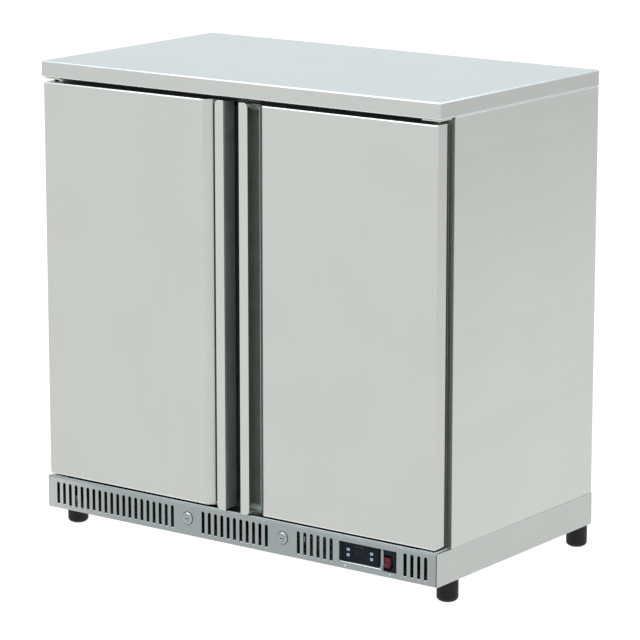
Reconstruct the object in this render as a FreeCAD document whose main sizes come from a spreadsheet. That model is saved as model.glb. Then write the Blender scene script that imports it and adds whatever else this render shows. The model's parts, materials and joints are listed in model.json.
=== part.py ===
import FreeCAD, Part
import Sketcher
import math
import os
import re

"""Two-door under counter fridge, in millimetres.

Origin: middle of the footprint, on the floor. +X to the right, +Y to the back, +Z up.
The doors face -Y. They hang on pins at the outer edges and are pulled open by grip
recesses that meet in the middle.
"""

doc = FreeCAD.newDocument("UnderCounterFridge")
sheet = doc.addObject("Spreadsheet::Sheet", "Dimensions")

DIMENSIONS = {
    # outside
    "width": 900,
    "depth": 512,
    "foot_height": 42,
    "plinth_height": 60,
    "cabinet_height": 768,
    "worktop_height": 30,
    "rear_clearance": 4,
    # sheet metal
    "steel": 1,
    "worktop_steel": 1.2,
    "worktop_lip": 15,
    "panel_inset": 1,
    "flange": 12,
    # insulated cabinet
    "door_space": 46,
    "hinge_slot": 3.6,
    "interior_width": 812,
    "floor_foam": 41,
    "interior_height": 686.4,
    "back_foam": 42,
    "step_front": 24,
    "step_height": 187,
    "riser_foam": 36,
    "mullion_width": 72,
    "mullion_depth": 40,
    # doors, measured out from the centre line and back from the front plane
    "door_outer": 445,
    "door_inner": 16,
    "door_low_gap": 6,
    "door_height": 753.4,
    "door_thick": 28,
    "skin_edge": 67,
    "return_edge": 53,
    "return_depth": 12,
    "pivot_out": 430,
    "pivot_back": 20,
    "pin_radius": 4,
    "pin_clearance": 0.05,
    "bush_radius": 7,
    "bush_length": 16,
    "door_liner": 3,
    "seal_width": 16,
    "seal_depth": 14.4,
    "seal_inner": 19,
    "seal_outer": 434,
    "seal_end": 11,
    # grip
    "lip_width": 22,
    "lip_proud": 3.5,
    "lip_thick": 2,
    "lip_corner": 9,
    "lip_overrun": 3,
    "grip_wall": 4,
    "grip_depth": 25.5,
    "grip_end": 5,
    # plinth
    "slot_pitch": 14.7,
    "slot_radius": 3.5,
    "slot_low": 7.6,
    "slot_high": 51.5,
    "slots_left": 425.6,
    "slots_right": 146.3,
    "lock_out": 110,
    "lock_up": 32.8,
    "lock_radius": 10,
    "lock_proud": 4,
    "barrel_radius": 8,
    "plug_radius": 6,
    "cam_back": 18,
    "cam_reach": 38,
    "cam_half": 5,
    "cam_thick": 2,
    "keyway_half": 0.8,
    "keyway_reach": 3.5,
    "screw_in": 14,
    "screw_up": 6,
    "screw_head": 2.4,
    "screw_shank": 1.5,
    # controls, measured from the centre line and up from the bottom of the plinth
    "tray_left": 237,
    "tray_divider": 329.6,
    "switch_left": 332.1,
    "tray_right": 363,
    "tray_low": 10.3,
    "tray_high": 50.2,
    "tray_depth": 7,
    "controller_x": 281.6,
    "controller_z": 31.4,
    "controller_width": 77,
    "controller_height": 35,
    "bezel_front": 3.5,
    "key_out": 25.6,
    "key_up": 5,
    "key_width": 8,
    "key_height": 6,
    "key_gap": 0.2,
    "window_width": 26,
    "window_height": 13,
    "window_up": 2.5,
    "case_step": 3.2,
    "case_depth": 60,
    "switch_depth": 30,
    "rocker_x": 341.5,
    "rocker_z": 26.6,
    "rocker_width": 15,
    "well_half": 12.6,
    "well_depth": 24,
    # feet
    "foot_radius": 19,
    "foot_side": 19.5,
    "foot_front": 62,
    "foot_back": 20,
    "stem_radius": 5,
    "stem_rise": 16,
    "boss_radius": 9,
    "boss_height": 10,
    "foot_gap": 0.3,
    "foot_round": 6.5,
    "flute_radius": 1.3,
    "flute_low": 8,
    "flute_top": 6,
    # back
    "louvre_half": 110,
    "louvre_left": -240,
    "louvre_right": 200,
    "louvre_low": 60,
    "louvre_gap": 6,
    "louvre_pitch": 16,
    "gland_x": 330,
    "gland_up": 30,
    "gland_radius": 8,
    "gland_bore": 4.2,
    "collar_radius": 13,
    "spacer_out": 380,
    "spacer_in": 60,
    "spacer_radius": 15,
    # refrigeration
    "machine_height": 190,
    "condenser_left": -370,
    "condenser_width": 280,
    "condenser_front": 70,
    "condenser_depth": 40,
    "condenser_height": 220,
    "condenser_fan_radius": 92,
    "condenser_hub_radius": 22,
    "condenser_motor_radius": 30,
    "compressor_x": 250,
    "compressor_y": 155,
    "compressor_radius": 70,
    "compressor_height": 186,
    "compressor_mount": 12,
    "cover_half": 190,
    "cover_low": 510,
    "cover_height": 190,
    "cover_front": 148,
    "evaporator_fan_x": 105,
    "evaporator_fan_z": 606,
    "evaporator_fan_radius": 50,
    "evaporator_hub_radius": 15,
    "evaporator_motor_radius": 22,
    "fan_gap": 6,
    "fan_shaft_radius": 3,
    # shelves
    "shelf_low": 250,
    "shelf_high": 460,
    "shelf_thick": 6,
    "shelf_front": 164,
    "shelf_back": 209,
    "rail_thick": 2.5,
    "clip_reach": 15,
    "clip_height": 5,
    "lamp_half": 150,
    "lamp_front": 160,
    "lamp_back": 135,
    "lamp_height": 12,
    "lens_height": 3,
    "lens_edge": 5,
}

for row, (word, number) in enumerate(DIMENSIONS.items(), start=1):
    sheet.set(f"A{row}", word)
    sheet.set(f"B{row}", str(number))
    sheet.setAlias(f"B{row}", word)
doc.recompute()

# Planes that many pieces share, as formulas in the sheet's words.
FRONT = "(-depth / 2)"
FACE = "(-depth / 2 + door_space)"
BACK = "(depth / 2)"
SIDE = "(width / 2 - panel_inset)"
LINER = "(interior_width / 2)"
PLINTH_LOW = "foot_height"
PLINTH_TOP = "(foot_height + plinth_height)"
CABINET_TOP = "(foot_height + plinth_height + cabinet_height)"
TOP = "(foot_height + plinth_height + cabinet_height + worktop_height)"
FLOOR = "(foot_height + plinth_height + floor_foam)"
CEILING = "(foot_height + plinth_height + floor_foam + interior_height)"
STEP_TOP = "(foot_height + plinth_height + floor_foam + step_height)"
LINER_BACK = "(depth / 2 - back_foam)"
MACHINE_TOP = "(foot_height + plinth_height + machine_height)"
RISER = "(step_front + steel + riser_foam)"
DOOR_LOW = "(foot_height + plinth_height + door_low_gap)"
DOOR_HIGH = "(foot_height + plinth_height + door_low_gap + door_height)"
SCREW_LEFT = "tray_left + screw_in"
SCREW_RIGHT = "tray_right - screw_in"
SCREW_UP = "foot_height + screw_up"
SIGNS = {"left": -1, "right": 1}

nodes = {}


# ---------------------------------------------------------------- helpers

def formula(text):
    """Put the sheet's name before each of its words."""
    return re.sub(r"[a-z][a-z_]+", lambda word: "Dimensions." + word.group(0), text)


def value(text):
    """The number that a formula gives."""
    return float(sheet.evalExpression(formula(text)))


def keep(piece):
    """Make a piece one of the model's nodes, named by its label."""
    nodes[piece.Label] = piece
    return piece


def out(sign, low, high):
    """Two x planes given outwards from the centre line, on one side of it."""
    if sign > 0:
        return (low, high)
    return (f"-({high})", f"-({low})")


def block(label, x, y, z):
    """A box between two planes along each axis, each plane a formula."""
    box = doc.addObject("Part::Box", label)
    for length, (low, high) in zip(("Length", "Width", "Height"), (x, y, z)):
        box.setExpression(length, formula(f"({high}) - ({low})"))
    for axis, (low, high) in zip("xyz", (x, y, z)):
        box.setExpression("Placement.Base." + axis, formula(low))
    return box


def rod(label, axis, centre, radius, low, high):
    """A cylinder along y or z between two planes; centre gives the other two coordinates."""
    turns = {
        "y": FreeCAD.Rotation(FreeCAD.Vector(1, 0, 0), -90),
        "z": FreeCAD.Rotation(),
    }
    cylinder = doc.addObject("Part::Cylinder", label)
    cylinder.Placement = FreeCAD.Placement(FreeCAD.Vector(), turns[axis])
    cylinder.setExpression("Radius", formula(radius))
    cylinder.setExpression("Height", formula(f"({high}) - ({low})"))
    places = dict(zip([name for name in "xyz" if name != axis], centre))
    places[axis] = low
    for name, place in places.items():
        cylinder.setExpression("Placement.Base." + name, formula(place))
    return cylinder


def fuse(label, shapes):
    joined = doc.addObject("Part::MultiFuse", label)
    joined.Shapes = shapes
    return joined


def group(label, shapes):
    """Separate solids that share one node."""
    compound = doc.addObject("Part::Compound", label)
    compound.Links = shapes
    return compound


def cut(label, base, tools):
    result = doc.addObject("Part::Cut", label)
    result.Base = base
    result.Tool = tools[0] if len(tools) == 1 else fuse(label + "_tools", tools)
    return result


def body(label):
    return doc.addObject("PartDesign::Body", label)


def origin_feature(owner, role):
    return next(item for item in owner.Origin.OriginFeatures if item.Role == role)


def draw_polygon(sketch, points):
    """A closed outline whose corners are held by formulas."""
    corners = [FreeCAD.Vector(value(x), value(y), 0) for x, y in points]
    first = sketch.GeometryCount
    count = len(points)
    for index, corner in enumerate(corners):
        line = Part.LineSegment(corner, corners[(index + 1) % count])
        sketch.addGeometry(line, False)
    for index, (x, y) in enumerate(points):
        line = first + index
        following = first + (index + 1) % count
        sketch.addConstraint(Sketcher.Constraint("Coincident", line, 2, following, 1))
        pin_point(sketch, line, 1, x, y)


def draw_circle(sketch, x, y, radius):
    centre = FreeCAD.Vector(value(x), value(y), 0)
    circle = Part.Circle(centre, FreeCAD.Vector(0, 0, 1), value(radius))
    line = sketch.addGeometry(circle, False)
    pin_point(sketch, line, 3, x, y)
    number = sketch.addConstraint(Sketcher.Constraint("Radius", line, value(radius)))
    bind(sketch, number, radius)


def draw_slot(sketch, x, low, high, radius):
    """An upright slot with round ends, from low to high."""
    middle, half = value(x), value(radius)
    bottom, top = value(low) + half, value(high) - half
    up = FreeCAD.Vector(0, 0, 1)
    top_circle = Part.Circle(FreeCAD.Vector(middle, top, 0), up, half)
    bottom_circle = Part.Circle(FreeCAD.Vector(middle, bottom, 0), up, half)
    upper = Part.ArcOfCircle(top_circle, 0, math.pi)
    lower = Part.ArcOfCircle(bottom_circle, math.pi, 2 * math.pi)
    left = Part.LineSegment(
        FreeCAD.Vector(middle - half, top, 0), FreeCAD.Vector(middle - half, bottom, 0))
    right = Part.LineSegment(
        FreeCAD.Vector(middle + half, bottom, 0), FreeCAD.Vector(middle + half, top, 0))
    lines = [sketch.addGeometry(item, False) for item in (upper, left, lower, right)]
    for index, line in enumerate(lines):
        following = lines[(index + 1) % len(lines)]
        sketch.addConstraint(Sketcher.Constraint("Tangent", line, 2, following, 1))
    sketch.addConstraint(Sketcher.Constraint("Vertical", lines[1]))
    pin_point(sketch, lines[0], 3, x, f"({high}) - ({radius})")
    number = sketch.addConstraint(
        Sketcher.Constraint("DistanceY", -1, 1, lines[2], 3, value(f"({low}) + ({radius})")))
    bind(sketch, number, f"({low}) + ({radius})")
    number = sketch.addConstraint(Sketcher.Constraint("Radius", lines[0], half))
    bind(sketch, number, radius)


def pin_point(sketch, line, end, x, y):
    """Hold one point of a line at a place given by two formulas."""
    for kind, place in (("DistanceX", x), ("DistanceY", y)):
        number = sketch.addConstraint(
            Sketcher.Constraint(kind, -1, 1, line, end, value(place)))
        bind(sketch, number, place)


def bind(sketch, number, text):
    name = f"size_{number}"
    sketch.renameConstraint(number, name)
    sketch.setExpression("Constraints." + name, formula(text))


def sketch_on(owner, axis, offset, outlines):
    """A sketch square to an axis. X sketches hold (y, z), Y sketches (x, z), Z sketches (x, y)."""
    planes = {"X": "YZ_Plane", "Y": "XZ_Plane", "Z": "XY_Plane"}
    sketch = owner.newObject("Sketcher::SketchObject", owner.Name + "_outline")
    sketch.AttachmentSupport = (origin_feature(owner, planes[axis]), [""])
    sketch.MapMode = "FlatFace"
    sketch.setExpression("AttachmentOffset.Base.z", formula(offset))
    for outline in outlines:
        if outline[0] == "circle":
            draw_circle(sketch, *outline[1:])
        elif outline[0] == "slot":
            draw_slot(sketch, *outline[1:])
        else:
            draw_polygon(sketch, outline)
    return sketch


def pad(owner, axis, low, high, *outlines):
    """Add material between two planes square to an axis."""
    start = f"-({high})" if axis == "Y" else low
    feature = owner.newObject("PartDesign::Pad", owner.Name + "_pad")
    feature.Profile = sketch_on(owner, axis, start, outlines)
    feature.setExpression("Length", formula(f"({high}) - ({low})"))
    return feature


def pocket(owner, axis, low, high, *outlines):
    """Take material away between two planes square to an axis."""
    start = f"-({low})" if axis == "Y" else high
    feature = owner.newObject("PartDesign::Pocket", owner.Name + "_pocket")
    feature.Profile = sketch_on(owner, axis, start, outlines)
    feature.setExpression("Length", formula(f"({high}) - ({low})"))
    return feature


def repeat(owner, feature, role, pitch, count):
    """Repeat a feature along one of the body's own axes."""
    pattern = owner.newObject("PartDesign::LinearPattern", owner.Name + "_pattern")
    pattern.Originals = [feature]
    pattern.Direction = (origin_feature(owner, role), [""])
    pattern.Occurrences = count
    pattern.setExpression("Length", formula(f"({pitch}) * {count - 1}"))
    owner.Tip = pattern
    return pattern


def round_edges(owner, radius, wanted):
    """Fillet the edges whose middle point passes a test."""
    doc.recompute()
    base = owner.Tip
    names = []
    for number, edge in enumerate(base.Shape.Edges, start=1):
        if wanted(edge):
            names.append(f"Edge{number}")
    fillet = owner.newObject("PartDesign::Fillet", owner.Name + "_fillet")
    fillet.Base = (base, names)
    fillet.setExpression("Radius", formula(radius))
    return fillet


def rectangle(x, y):
    """Four corners from two pairs of planes."""
    return [(x[0], y[0]), (x[1], y[0]), (x[1], y[1]), (x[0], y[1])]


# ---------------------------------------------------------------- cabinet

def make_worktop():
    """A folded pan with skirts all round and lips turned in below."""
    outer = block("worktop_blank", ("-width / 2", "width / 2"), (FRONT, BACK), (CABINET_TOP, TOP))
    hollow = block(
        "worktop_hollow",
        ("-width / 2 + worktop_steel", "width / 2 - worktop_steel"),
        (f"{FRONT} + worktop_steel", f"{BACK} - worktop_steel"),
        (f"{CABINET_TOP} + worktop_steel", f"{TOP} - worktop_steel"))
    mouth = block(
        "worktop_mouth",
        ("-width / 2 + worktop_lip", "width / 2 - worktop_lip"),
        (f"{FRONT} + worktop_lip", f"{BACK} - worktop_lip"),
        (f"{CABINET_TOP} - 1", f"{CABINET_TOP} + worktop_steel"))
    keep(cut("worktop", outer, [hollow, mouth]))


def make_side_panel(name, sign):
    """A sheet with flanges turned in at the front and the back, notched for the hinge."""
    panel = body(name)
    inside = f"{sign} * ({SIDE} - steel)"
    outline = [
        (f"{sign} * {SIDE}", FACE),
        (f"{sign} * {SIDE}", BACK),
        (f"{sign} * ({SIDE} - flange)", BACK),
        (f"{sign} * ({SIDE} - flange)", f"{BACK} - steel"),
        (inside, f"{BACK} - steel"),
        (inside, f"{FACE} + steel"),
        (f"{sign} * ({SIDE} - flange)", f"{FACE} + steel"),
        (f"{sign} * ({SIDE} - flange)", FACE),
    ]
    pad(panel, "Z", PLINTH_TOP, CABINET_TOP, outline)
    notch_x = out(sign, f"{SIDE} - flange - 1", f"{SIDE} - steel")
    notch = rectangle(notch_x, (f"{FACE} - 1", f"{FACE} + 2 * steel"))
    pocket(panel, "Z", f"{CABINET_TOP} - hinge_slot", f"{CABINET_TOP} + 1", notch)
    keep(panel)


def make_shell():
    """Back panel, and the folded sheet under and behind the cold space."""
    half = f"({SIDE} - flange - 0.1)"
    keep(block("back_panel", (f"-{half}", half), (f"{BACK} - steel", BACK),
               (MACHINE_TOP, CABINET_TOP)))
    underside = body("underside_panel")
    outline = [
        (f"{FACE} + steel", PLINTH_TOP),
        (f"{RISER} + steel", PLINTH_TOP),
        (f"{RISER} + steel", f"{MACHINE_TOP} - 2 * steel"),
        (f"{BACK} - steel", f"{MACHINE_TOP} - 2 * steel"),
        (f"{BACK} - steel", f"{MACHINE_TOP} - steel"),
        (RISER, f"{MACHINE_TOP} - steel"),
        (RISER, f"{PLINTH_TOP} + steel"),
        (f"{FACE} + steel", f"{PLINTH_TOP} + steel"),
    ]
    pad(underside, "X", f"-{LINER} - steel", f"{LINER} + steel", outline)
    keep(underside)


def make_insulation():
    """Foam slabs between the shell and the liner, and the core that fills the worktop."""
    middle = (f"-{LINER} - steel", f"{LINER} + steel")
    foam_top = f"{CABINET_TOP} - hinge_slot"
    front = f"{FACE} + steel"
    back = f"{BACK} - steel"
    slabs = [
        block("foam_floor", middle, (front, RISER), (f"{PLINTH_TOP} + steel", f"{FLOOR} - steel")),
        block("foam_riser", middle, ("step_front + steel", RISER),
              (f"{FLOOR} - steel", f"{MACHINE_TOP} - steel")),
        block("foam_deck", middle, ("step_front + steel", back),
              (f"{MACHINE_TOP} - steel", f"{STEP_TOP} - steel")),
        block("foam_back", middle, (f"{LINER_BACK} + steel", back),
              (f"{STEP_TOP} - steel", f"{CEILING} + steel")),
        block("foam_top", middle, (front, back), (f"{CEILING} + steel", foam_top)),
    ]
    for name, sign in SIGNS.items():
        wall = out(sign, f"{LINER} + steel", f"{SIDE} - steel")
        slabs.append(block(f"foam_{name}", wall, (front, back), (PLINTH_TOP, foam_top)))
    slabs.append(block(
        "foam_worktop",
        ("-width / 2 + worktop_steel", "width / 2 - worktop_steel"),
        (f"{FRONT} + worktop_steel", f"{BACK} - worktop_steel"),
        (f"{CABINET_TOP} + worktop_steel", f"{TOP} - worktop_steel")))
    keep(group("insulation", slabs))


def make_liner():
    """The inside skin, with a step over the machine compartment."""
    liner = body("inner_liner")

    def profile(skin, front):
        return [
            (front, f"{FLOOR} - {skin}"),
            (f"step_front + {skin}", f"{FLOOR} - {skin}"),
            (f"step_front + {skin}", f"{STEP_TOP} - {skin}"),
            (f"{LINER_BACK} + {skin}", f"{STEP_TOP} - {skin}"),
            (f"{LINER_BACK} + {skin}", f"{CEILING} + {skin}"),
            (front, f"{CEILING} + {skin}"),
        ]

    pad(liner, "X", f"-{LINER} - steel", f"{LINER} + steel", profile("steel", f"{FACE} + steel"))
    pocket(liner, "X", f"-{LINER}", LINER, profile("0", FACE))
    keep(liner)


def make_front_frame():
    """Flat strips around the two door openings, and the hollow post behind the middle one."""
    thick = (FACE, f"{FACE} + steel")
    frame_top = f"{CABINET_TOP} - hinge_slot"
    post = ("-mullion_width / 2", "mullion_width / 2")
    strips = [
        block("frame_top", (f"-{LINER}", LINER), thick, (CEILING, frame_top)),
        block("frame_bottom", (f"-{LINER}", LINER), thick, (PLINTH_TOP, FLOOR)),
        block("frame_middle", post, thick, (FLOOR, CEILING)),
    ]
    for name, sign in SIGNS.items():
        edge = out(sign, LINER, f"{SIDE} - flange - 0.1")
        strips.append(block(f"frame_{name}", edge, thick, (PLINTH_TOP, frame_top)))
    keep(group("front_frame", strips))

    post_back = f"{FACE} + steel + mullion_depth"
    solid = block("mullion_blank", post, (f"{FACE} + steel", post_back), (FLOOR, CEILING))
    hollow = block(
        "mullion_hollow",
        ("-mullion_width / 2 + steel", "mullion_width / 2 - steel"),
        (FACE, f"{post_back} - steel"),
        (f"{FLOOR} + steel", f"{CEILING} - steel"))
    keep(cut("centre_mullion", solid, [hollow]))


# ---------------------------------------------------------------- plinth

def make_plinth_side(name, sign):
    """A channel along the side, with its web carried forward to the corner."""
    side = body(name)
    outer = f"{sign} * width / 2"
    inner = f"{sign} * (width / 2 - steel)"
    lip = f"{sign} * ({SIDE} - flange)"
    channel = [
        (outer, PLINTH_LOW),
        (outer, PLINTH_TOP),
        (lip, PLINTH_TOP),
        (lip, f"{PLINTH_TOP} - steel"),
        (inner, f"{PLINTH_TOP} - steel"),
        (inner, f"{PLINTH_LOW} + steel"),
        (lip, f"{PLINTH_LOW} + steel"),
        (lip, PLINTH_LOW),
    ]
    pad(side, "Y", FACE, BACK, channel)
    web = rectangle(out(sign, "width / 2 - steel", "width / 2"), (PLINTH_LOW, PLINTH_TOP))
    pad(side, "Y", FRONT, FACE, web)
    keep(side)


def slot_row(panel, x, count):
    """A row of upright slots, starting at x."""
    outline = ("slot", x, f"{PLINTH_LOW} + slot_low", f"{PLINTH_LOW} + slot_high", "slot_radius")
    first = pocket(panel, "Y", f"{FRONT} - 1", f"{FRONT} + 2 * steel", outline)
    repeat(panel, first, "X_Axis", "slot_pitch", count)


def make_grille_panel():
    """The slotted front of the plinth, with the locks' holes and the controls' cut-outs."""
    panel = body("grille_panel")
    section = [
        (FRONT, PLINTH_LOW),
        (FRONT, PLINTH_TOP),
        (f"{FACE} - steel", PLINTH_TOP),
        (f"{FACE} - steel", f"{PLINTH_TOP} - steel"),
        (f"{FRONT} + steel", f"{PLINTH_TOP} - steel"),
        (f"{FRONT} + steel", f"{PLINTH_LOW} + steel"),
        (f"{FRONT} + 20 * steel", f"{PLINTH_LOW} + steel"),
        (f"{FRONT} + 20 * steel", PLINTH_LOW),
    ]
    corner = "(width / 2 - steel - 0.2)"
    pad(panel, "X", f"-{corner}", corner, section)
    slot_row(panel, "-slots_left", 20)
    slot_row(panel, "-5 * slot_pitch", 11)
    slot_row(panel, "slots_right", 6)
    slot_row(panel, "slots_right + 16 * slot_pitch", 4)

    cutouts = [
        rectangle(("tray_left", "tray_divider"),
                  (f"{PLINTH_LOW} + tray_low", f"{PLINTH_LOW} + tray_high")),
        rectangle(("switch_left", "tray_right"),
                  (f"{PLINTH_LOW} + tray_low", f"{PLINTH_LOW} + tray_high")),
        ("circle", "-lock_out", f"{PLINTH_LOW} + lock_up", "barrel_radius + 0.1"),
        ("circle", "lock_out", f"{PLINTH_LOW} + lock_up", "barrel_radius + 0.1"),
        ("circle", SCREW_LEFT, SCREW_UP, "screw_shank + 0.1"),
        ("circle", SCREW_RIGHT, SCREW_UP, "screw_shank + 0.1"),
    ]
    pocket(panel, "Y", f"{FRONT} - 1", f"{FRONT} + 2 * steel", *cutouts)
    cam_ways = [cam_way(sign, 2, 31) for sign in SIGNS.values()]
    pocket(panel, "Z", f"{PLINTH_TOP} - 2 * steel", f"{PLINTH_TOP} + 1", *cam_ways)
    keep(panel)


def cam_way(sign, margin, reach):
    """The slot that a lock's cam swings up through, seen from above."""
    x = out(sign, f"lock_out - cam_half - {margin}", f"lock_out + {reach}")
    y = (f"{FRONT} + cam_back - {margin}", f"{FRONT} + cam_back + cam_thick + {margin}")
    return rectangle(x, y)


def make_base_pan():
    """The floor of the plinth, with four threaded bosses for the feet."""
    half = "(width / 2 - steel - 0.2)"
    plate = block("base_plate", (f"-{half}", half), (f"{FRONT} + 22 * steel", f"{BACK} - 2 * steel"),
                  ("foot_height + steel", "foot_height + 2 * steel"))
    bosses = []
    bores = []
    for name, x, y in foot_places():
        bosses.append(rod(f"boss_{name}", "z", (x, y), "boss_radius",
                          "foot_height + 2 * steel", "foot_height + 2 * steel + boss_height"))
        bores.append(rod(f"bore_{name}", "z", (x, y), "stem_radius + pin_clearance",
                         "foot_height", "foot_height + 2 * boss_height"))
    keep(cut("base_pan", fuse("base_pan_blank", [plate] + bosses), bores))


def foot_places():
    """Name and centre of each foot."""
    places = []
    for end, y in (("front", f"{FRONT} + foot_front"), ("rear", f"{BACK} - foot_back")):
        for name, sign in SIGNS.items():
            places.append((f"{end}_{name}", f"{sign} * (width / 2 - foot_side)", y))
    return places


def make_foot(name, x, y):
    """A fluted levelling foot on a threaded stem."""
    foot = body(f"foot_{name}")
    profile = [
        ("0", "0"),
        ("foot_radius", "0"),
        ("foot_radius", "foot_height - foot_gap"),
        ("stem_radius", "foot_height - foot_gap"),
        ("stem_radius", "foot_height + stem_rise"),
        ("0", "foot_height + stem_rise"),
    ]
    turned = foot.newObject("PartDesign::Revolution", foot.Name + "_turned")
    turned.Profile = sketch_on(foot, "Y", "0", [profile])
    turned.ReferenceAxis = (turned.Profile[0], ["V_Axis"])
    turned.Angle = 360
    flute = pocket(foot, "Z", "flute_low", "foot_height - flute_top",
                   ("circle", "foot_radius + 0.4", "0", "flute_radius"))
    ring = foot.newObject("PartDesign::PolarPattern", foot.Name + "_flutes")
    ring.Originals = [flute]
    ring.Axis = (origin_feature(foot, "Z_Axis"), [""])
    ring.Angle = 360
    ring.Occurrences = 24
    foot.Tip = ring
    round_edges(foot, "foot_round", lambda edge: edge.BoundBox.ZMax < 0.01 and edge.Length > 1)
    foot.setExpression("Placement.Base.x", formula(x))
    foot.setExpression("Placement.Base.y", formula(y))
    keep(foot)


def make_rear():
    """Louvred cover of the machine compartment, spacers that keep the wall away, cable gland."""
    cover = body("rear_grille")
    half = f"({SIDE} - flange - 0.1)"
    outline = rectangle((f"-{half}", half), ("foot_height + 2 * steel", f"{MACHINE_TOP} - steel"))
    pad(cover, "Y", f"{BACK} - steel", BACK, outline)
    for centre in ("louvre_left", "louvre_right"):
        slot = rectangle((f"{centre} - louvre_half", f"{centre} + louvre_half"),
                         ("foot_height + louvre_low", "foot_height + louvre_low + louvre_gap"))
        first = pocket(cover, "Y", f"{BACK} - 2 * steel", f"{BACK} + 1", slot)
        repeat(cover, first, "Z_Axis", "louvre_pitch", 10)
    pocket(cover, "Y", f"{BACK} - 2 * steel", f"{BACK} + 1",
           ("circle", "gland_x", "foot_height + gland_up", "gland_radius + 0.1"))
    keep(cover)

    spacers = []
    for height in (f"{MACHINE_TOP} + spacer_in", f"{CABINET_TOP} - spacer_in"):
        for name, sign in SIGNS.items():
            spacers.append(rod("spacer", "y", (f"{sign} * spacer_out", height), "spacer_radius",
                               BACK, f"{BACK} + rear_clearance"))
    keep(group("wall_spacers", spacers))

    centre = ("gland_x", "foot_height + gland_up")
    collar = rod("gland_collar", "y", centre, "collar_radius", BACK, f"{BACK} + rear_clearance")
    neck = rod("gland_neck", "y", centre, "gland_radius", f"{BACK} - 10", BACK)
    bore = rod("gland_hole", "y", centre, "gland_bore", f"{BACK} - 12", f"{BACK} + 10")
    keep(cut("mains_gland", fuse("gland_blank", [collar, neck]), [bore]))


# ---------------------------------------------------------------- locks and controls

def make_locks():
    """Two key locks: fixed housings, and plugs that swing a cam up into the door."""
    height = f"{PLINTH_LOW} + lock_up"
    housings = []
    for name, sign in SIGNS.items():
        centre = (f"{sign} * lock_out", height)
        rim = rod(f"lock_rim_{name}", "y", centre, "lock_radius",
                  f"{FRONT} - lock_proud + 0.5", FRONT)
        barrel = rod(f"lock_barrel_{name}", "y", centre, "barrel_radius",
                     FRONT, f"{FRONT} + cam_back - 1")
        bore = rod(f"lock_bore_{name}", "y", centre, "plug_radius + pin_clearance",
                   f"{FRONT} - 10", f"{FRONT} + 30")
        sleeve = fuse(f"lock_sleeve_{name}", [rim, barrel])
        housings.append(cut(f"lock_housing_{name}", sleeve, [bore]))

        plug = rod(f"lock_plug_{name}", "y", centre, "plug_radius",
                   f"{FRONT} - lock_proud", f"{FRONT} + cam_back")
        cam = block(
            f"lock_cam_{name}",
            out(sign, "lock_out - cam_half", "lock_out + cam_reach"),
            (f"{FRONT} + cam_back", f"{FRONT} + cam_back + cam_thick"),
            (f"{height} - cam_half", f"{height} + cam_half"))
        keyway = block(
            f"lock_keyway_{name}",
            (f"{sign} * lock_out - keyway_reach", f"{sign} * lock_out + keyway_reach"),
            (f"{FRONT} - lock_proud - 1", f"{FRONT} + 8"),
            (f"{height} - keyway_half", f"{height} + keyway_half"))
        keep(cut(f"lock_{name}", fuse(f"lock_blank_{name}", [plug, cam]), [keyway]))
    keep(group("lock_housings", housings))


def make_control_tray():
    """An open steel tray behind the cut-outs, with holes for the thermostat and the switch."""
    low, high = f"{PLINTH_LOW} + tray_low", f"{PLINTH_LOW} + tray_high"
    tray = body("control_tray")
    outer = rectangle(("tray_left - steel", "tray_right + steel"),
                      (f"{low} - steel", f"{high} + steel"))
    inner = rectangle(("tray_left", "tray_right"), (low, high))
    pad(tray, "Y", f"{FRONT} + steel", f"{FRONT} + tray_depth + steel", outer)
    pocket(tray, "Y", FRONT, f"{FRONT} + tray_depth", inner)
    holes = [controller_outline("-3"), rectangle(*switch_body())]
    pocket(tray, "Y", FRONT, f"{FRONT} + tray_depth + 2 * steel", *holes)
    keep(tray)

    screws = []
    for name, x in (("left", SCREW_LEFT), ("right", SCREW_RIGHT)):
        head = rod(f"screw_head_{name}", "y", (x, SCREW_UP), "screw_head", f"{FRONT} - 1.3", FRONT)
        shank = rod(f"screw_shank_{name}", "y", (x, SCREW_UP), "screw_shank",
                    FRONT, f"{FRONT} + 6")
        screws.append(fuse(f"screw_{name}", [head, shank]))
    keep(group("panel_screws", screws))


def controller_outline(grow):
    """The thermostat's outline, larger or smaller by the same amount on each side."""
    x = (f"controller_x - controller_width / 2 - ({grow})",
         f"controller_x + controller_width / 2 + ({grow})")
    z = (f"{PLINTH_LOW} + controller_z - controller_height / 2 - ({grow})",
         f"{PLINTH_LOW} + controller_z + controller_height / 2 + ({grow})")
    return rectangle(x, z)


def key_places():
    """Name, x and z of the thermostat's four keys."""
    places = []
    for row, up in (("upper", "key_up"), ("lower", "-key_up")):
        for name, sign in SIGNS.items():
            x = f"controller_x + {sign} * key_out"
            z = f"{PLINTH_LOW} + controller_z + {up}"
            places.append((f"key_{row}_{name}", x, z))
    return places


def key_outline(x, z, gap):
    return rectangle((f"{x} - key_width / 2 - {gap}", f"{x} + key_width / 2 + {gap}"),
                     (f"{z} - key_height / 2 - {gap}", f"{z} + key_height / 2 + {gap}"))


def window_outline():
    z = f"{PLINTH_LOW} + controller_z + window_up"
    return rectangle(("controller_x - window_width / 2", "controller_x + window_width / 2"),
                     (f"{z} - window_height / 2", f"{z} + window_height / 2"))


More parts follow.
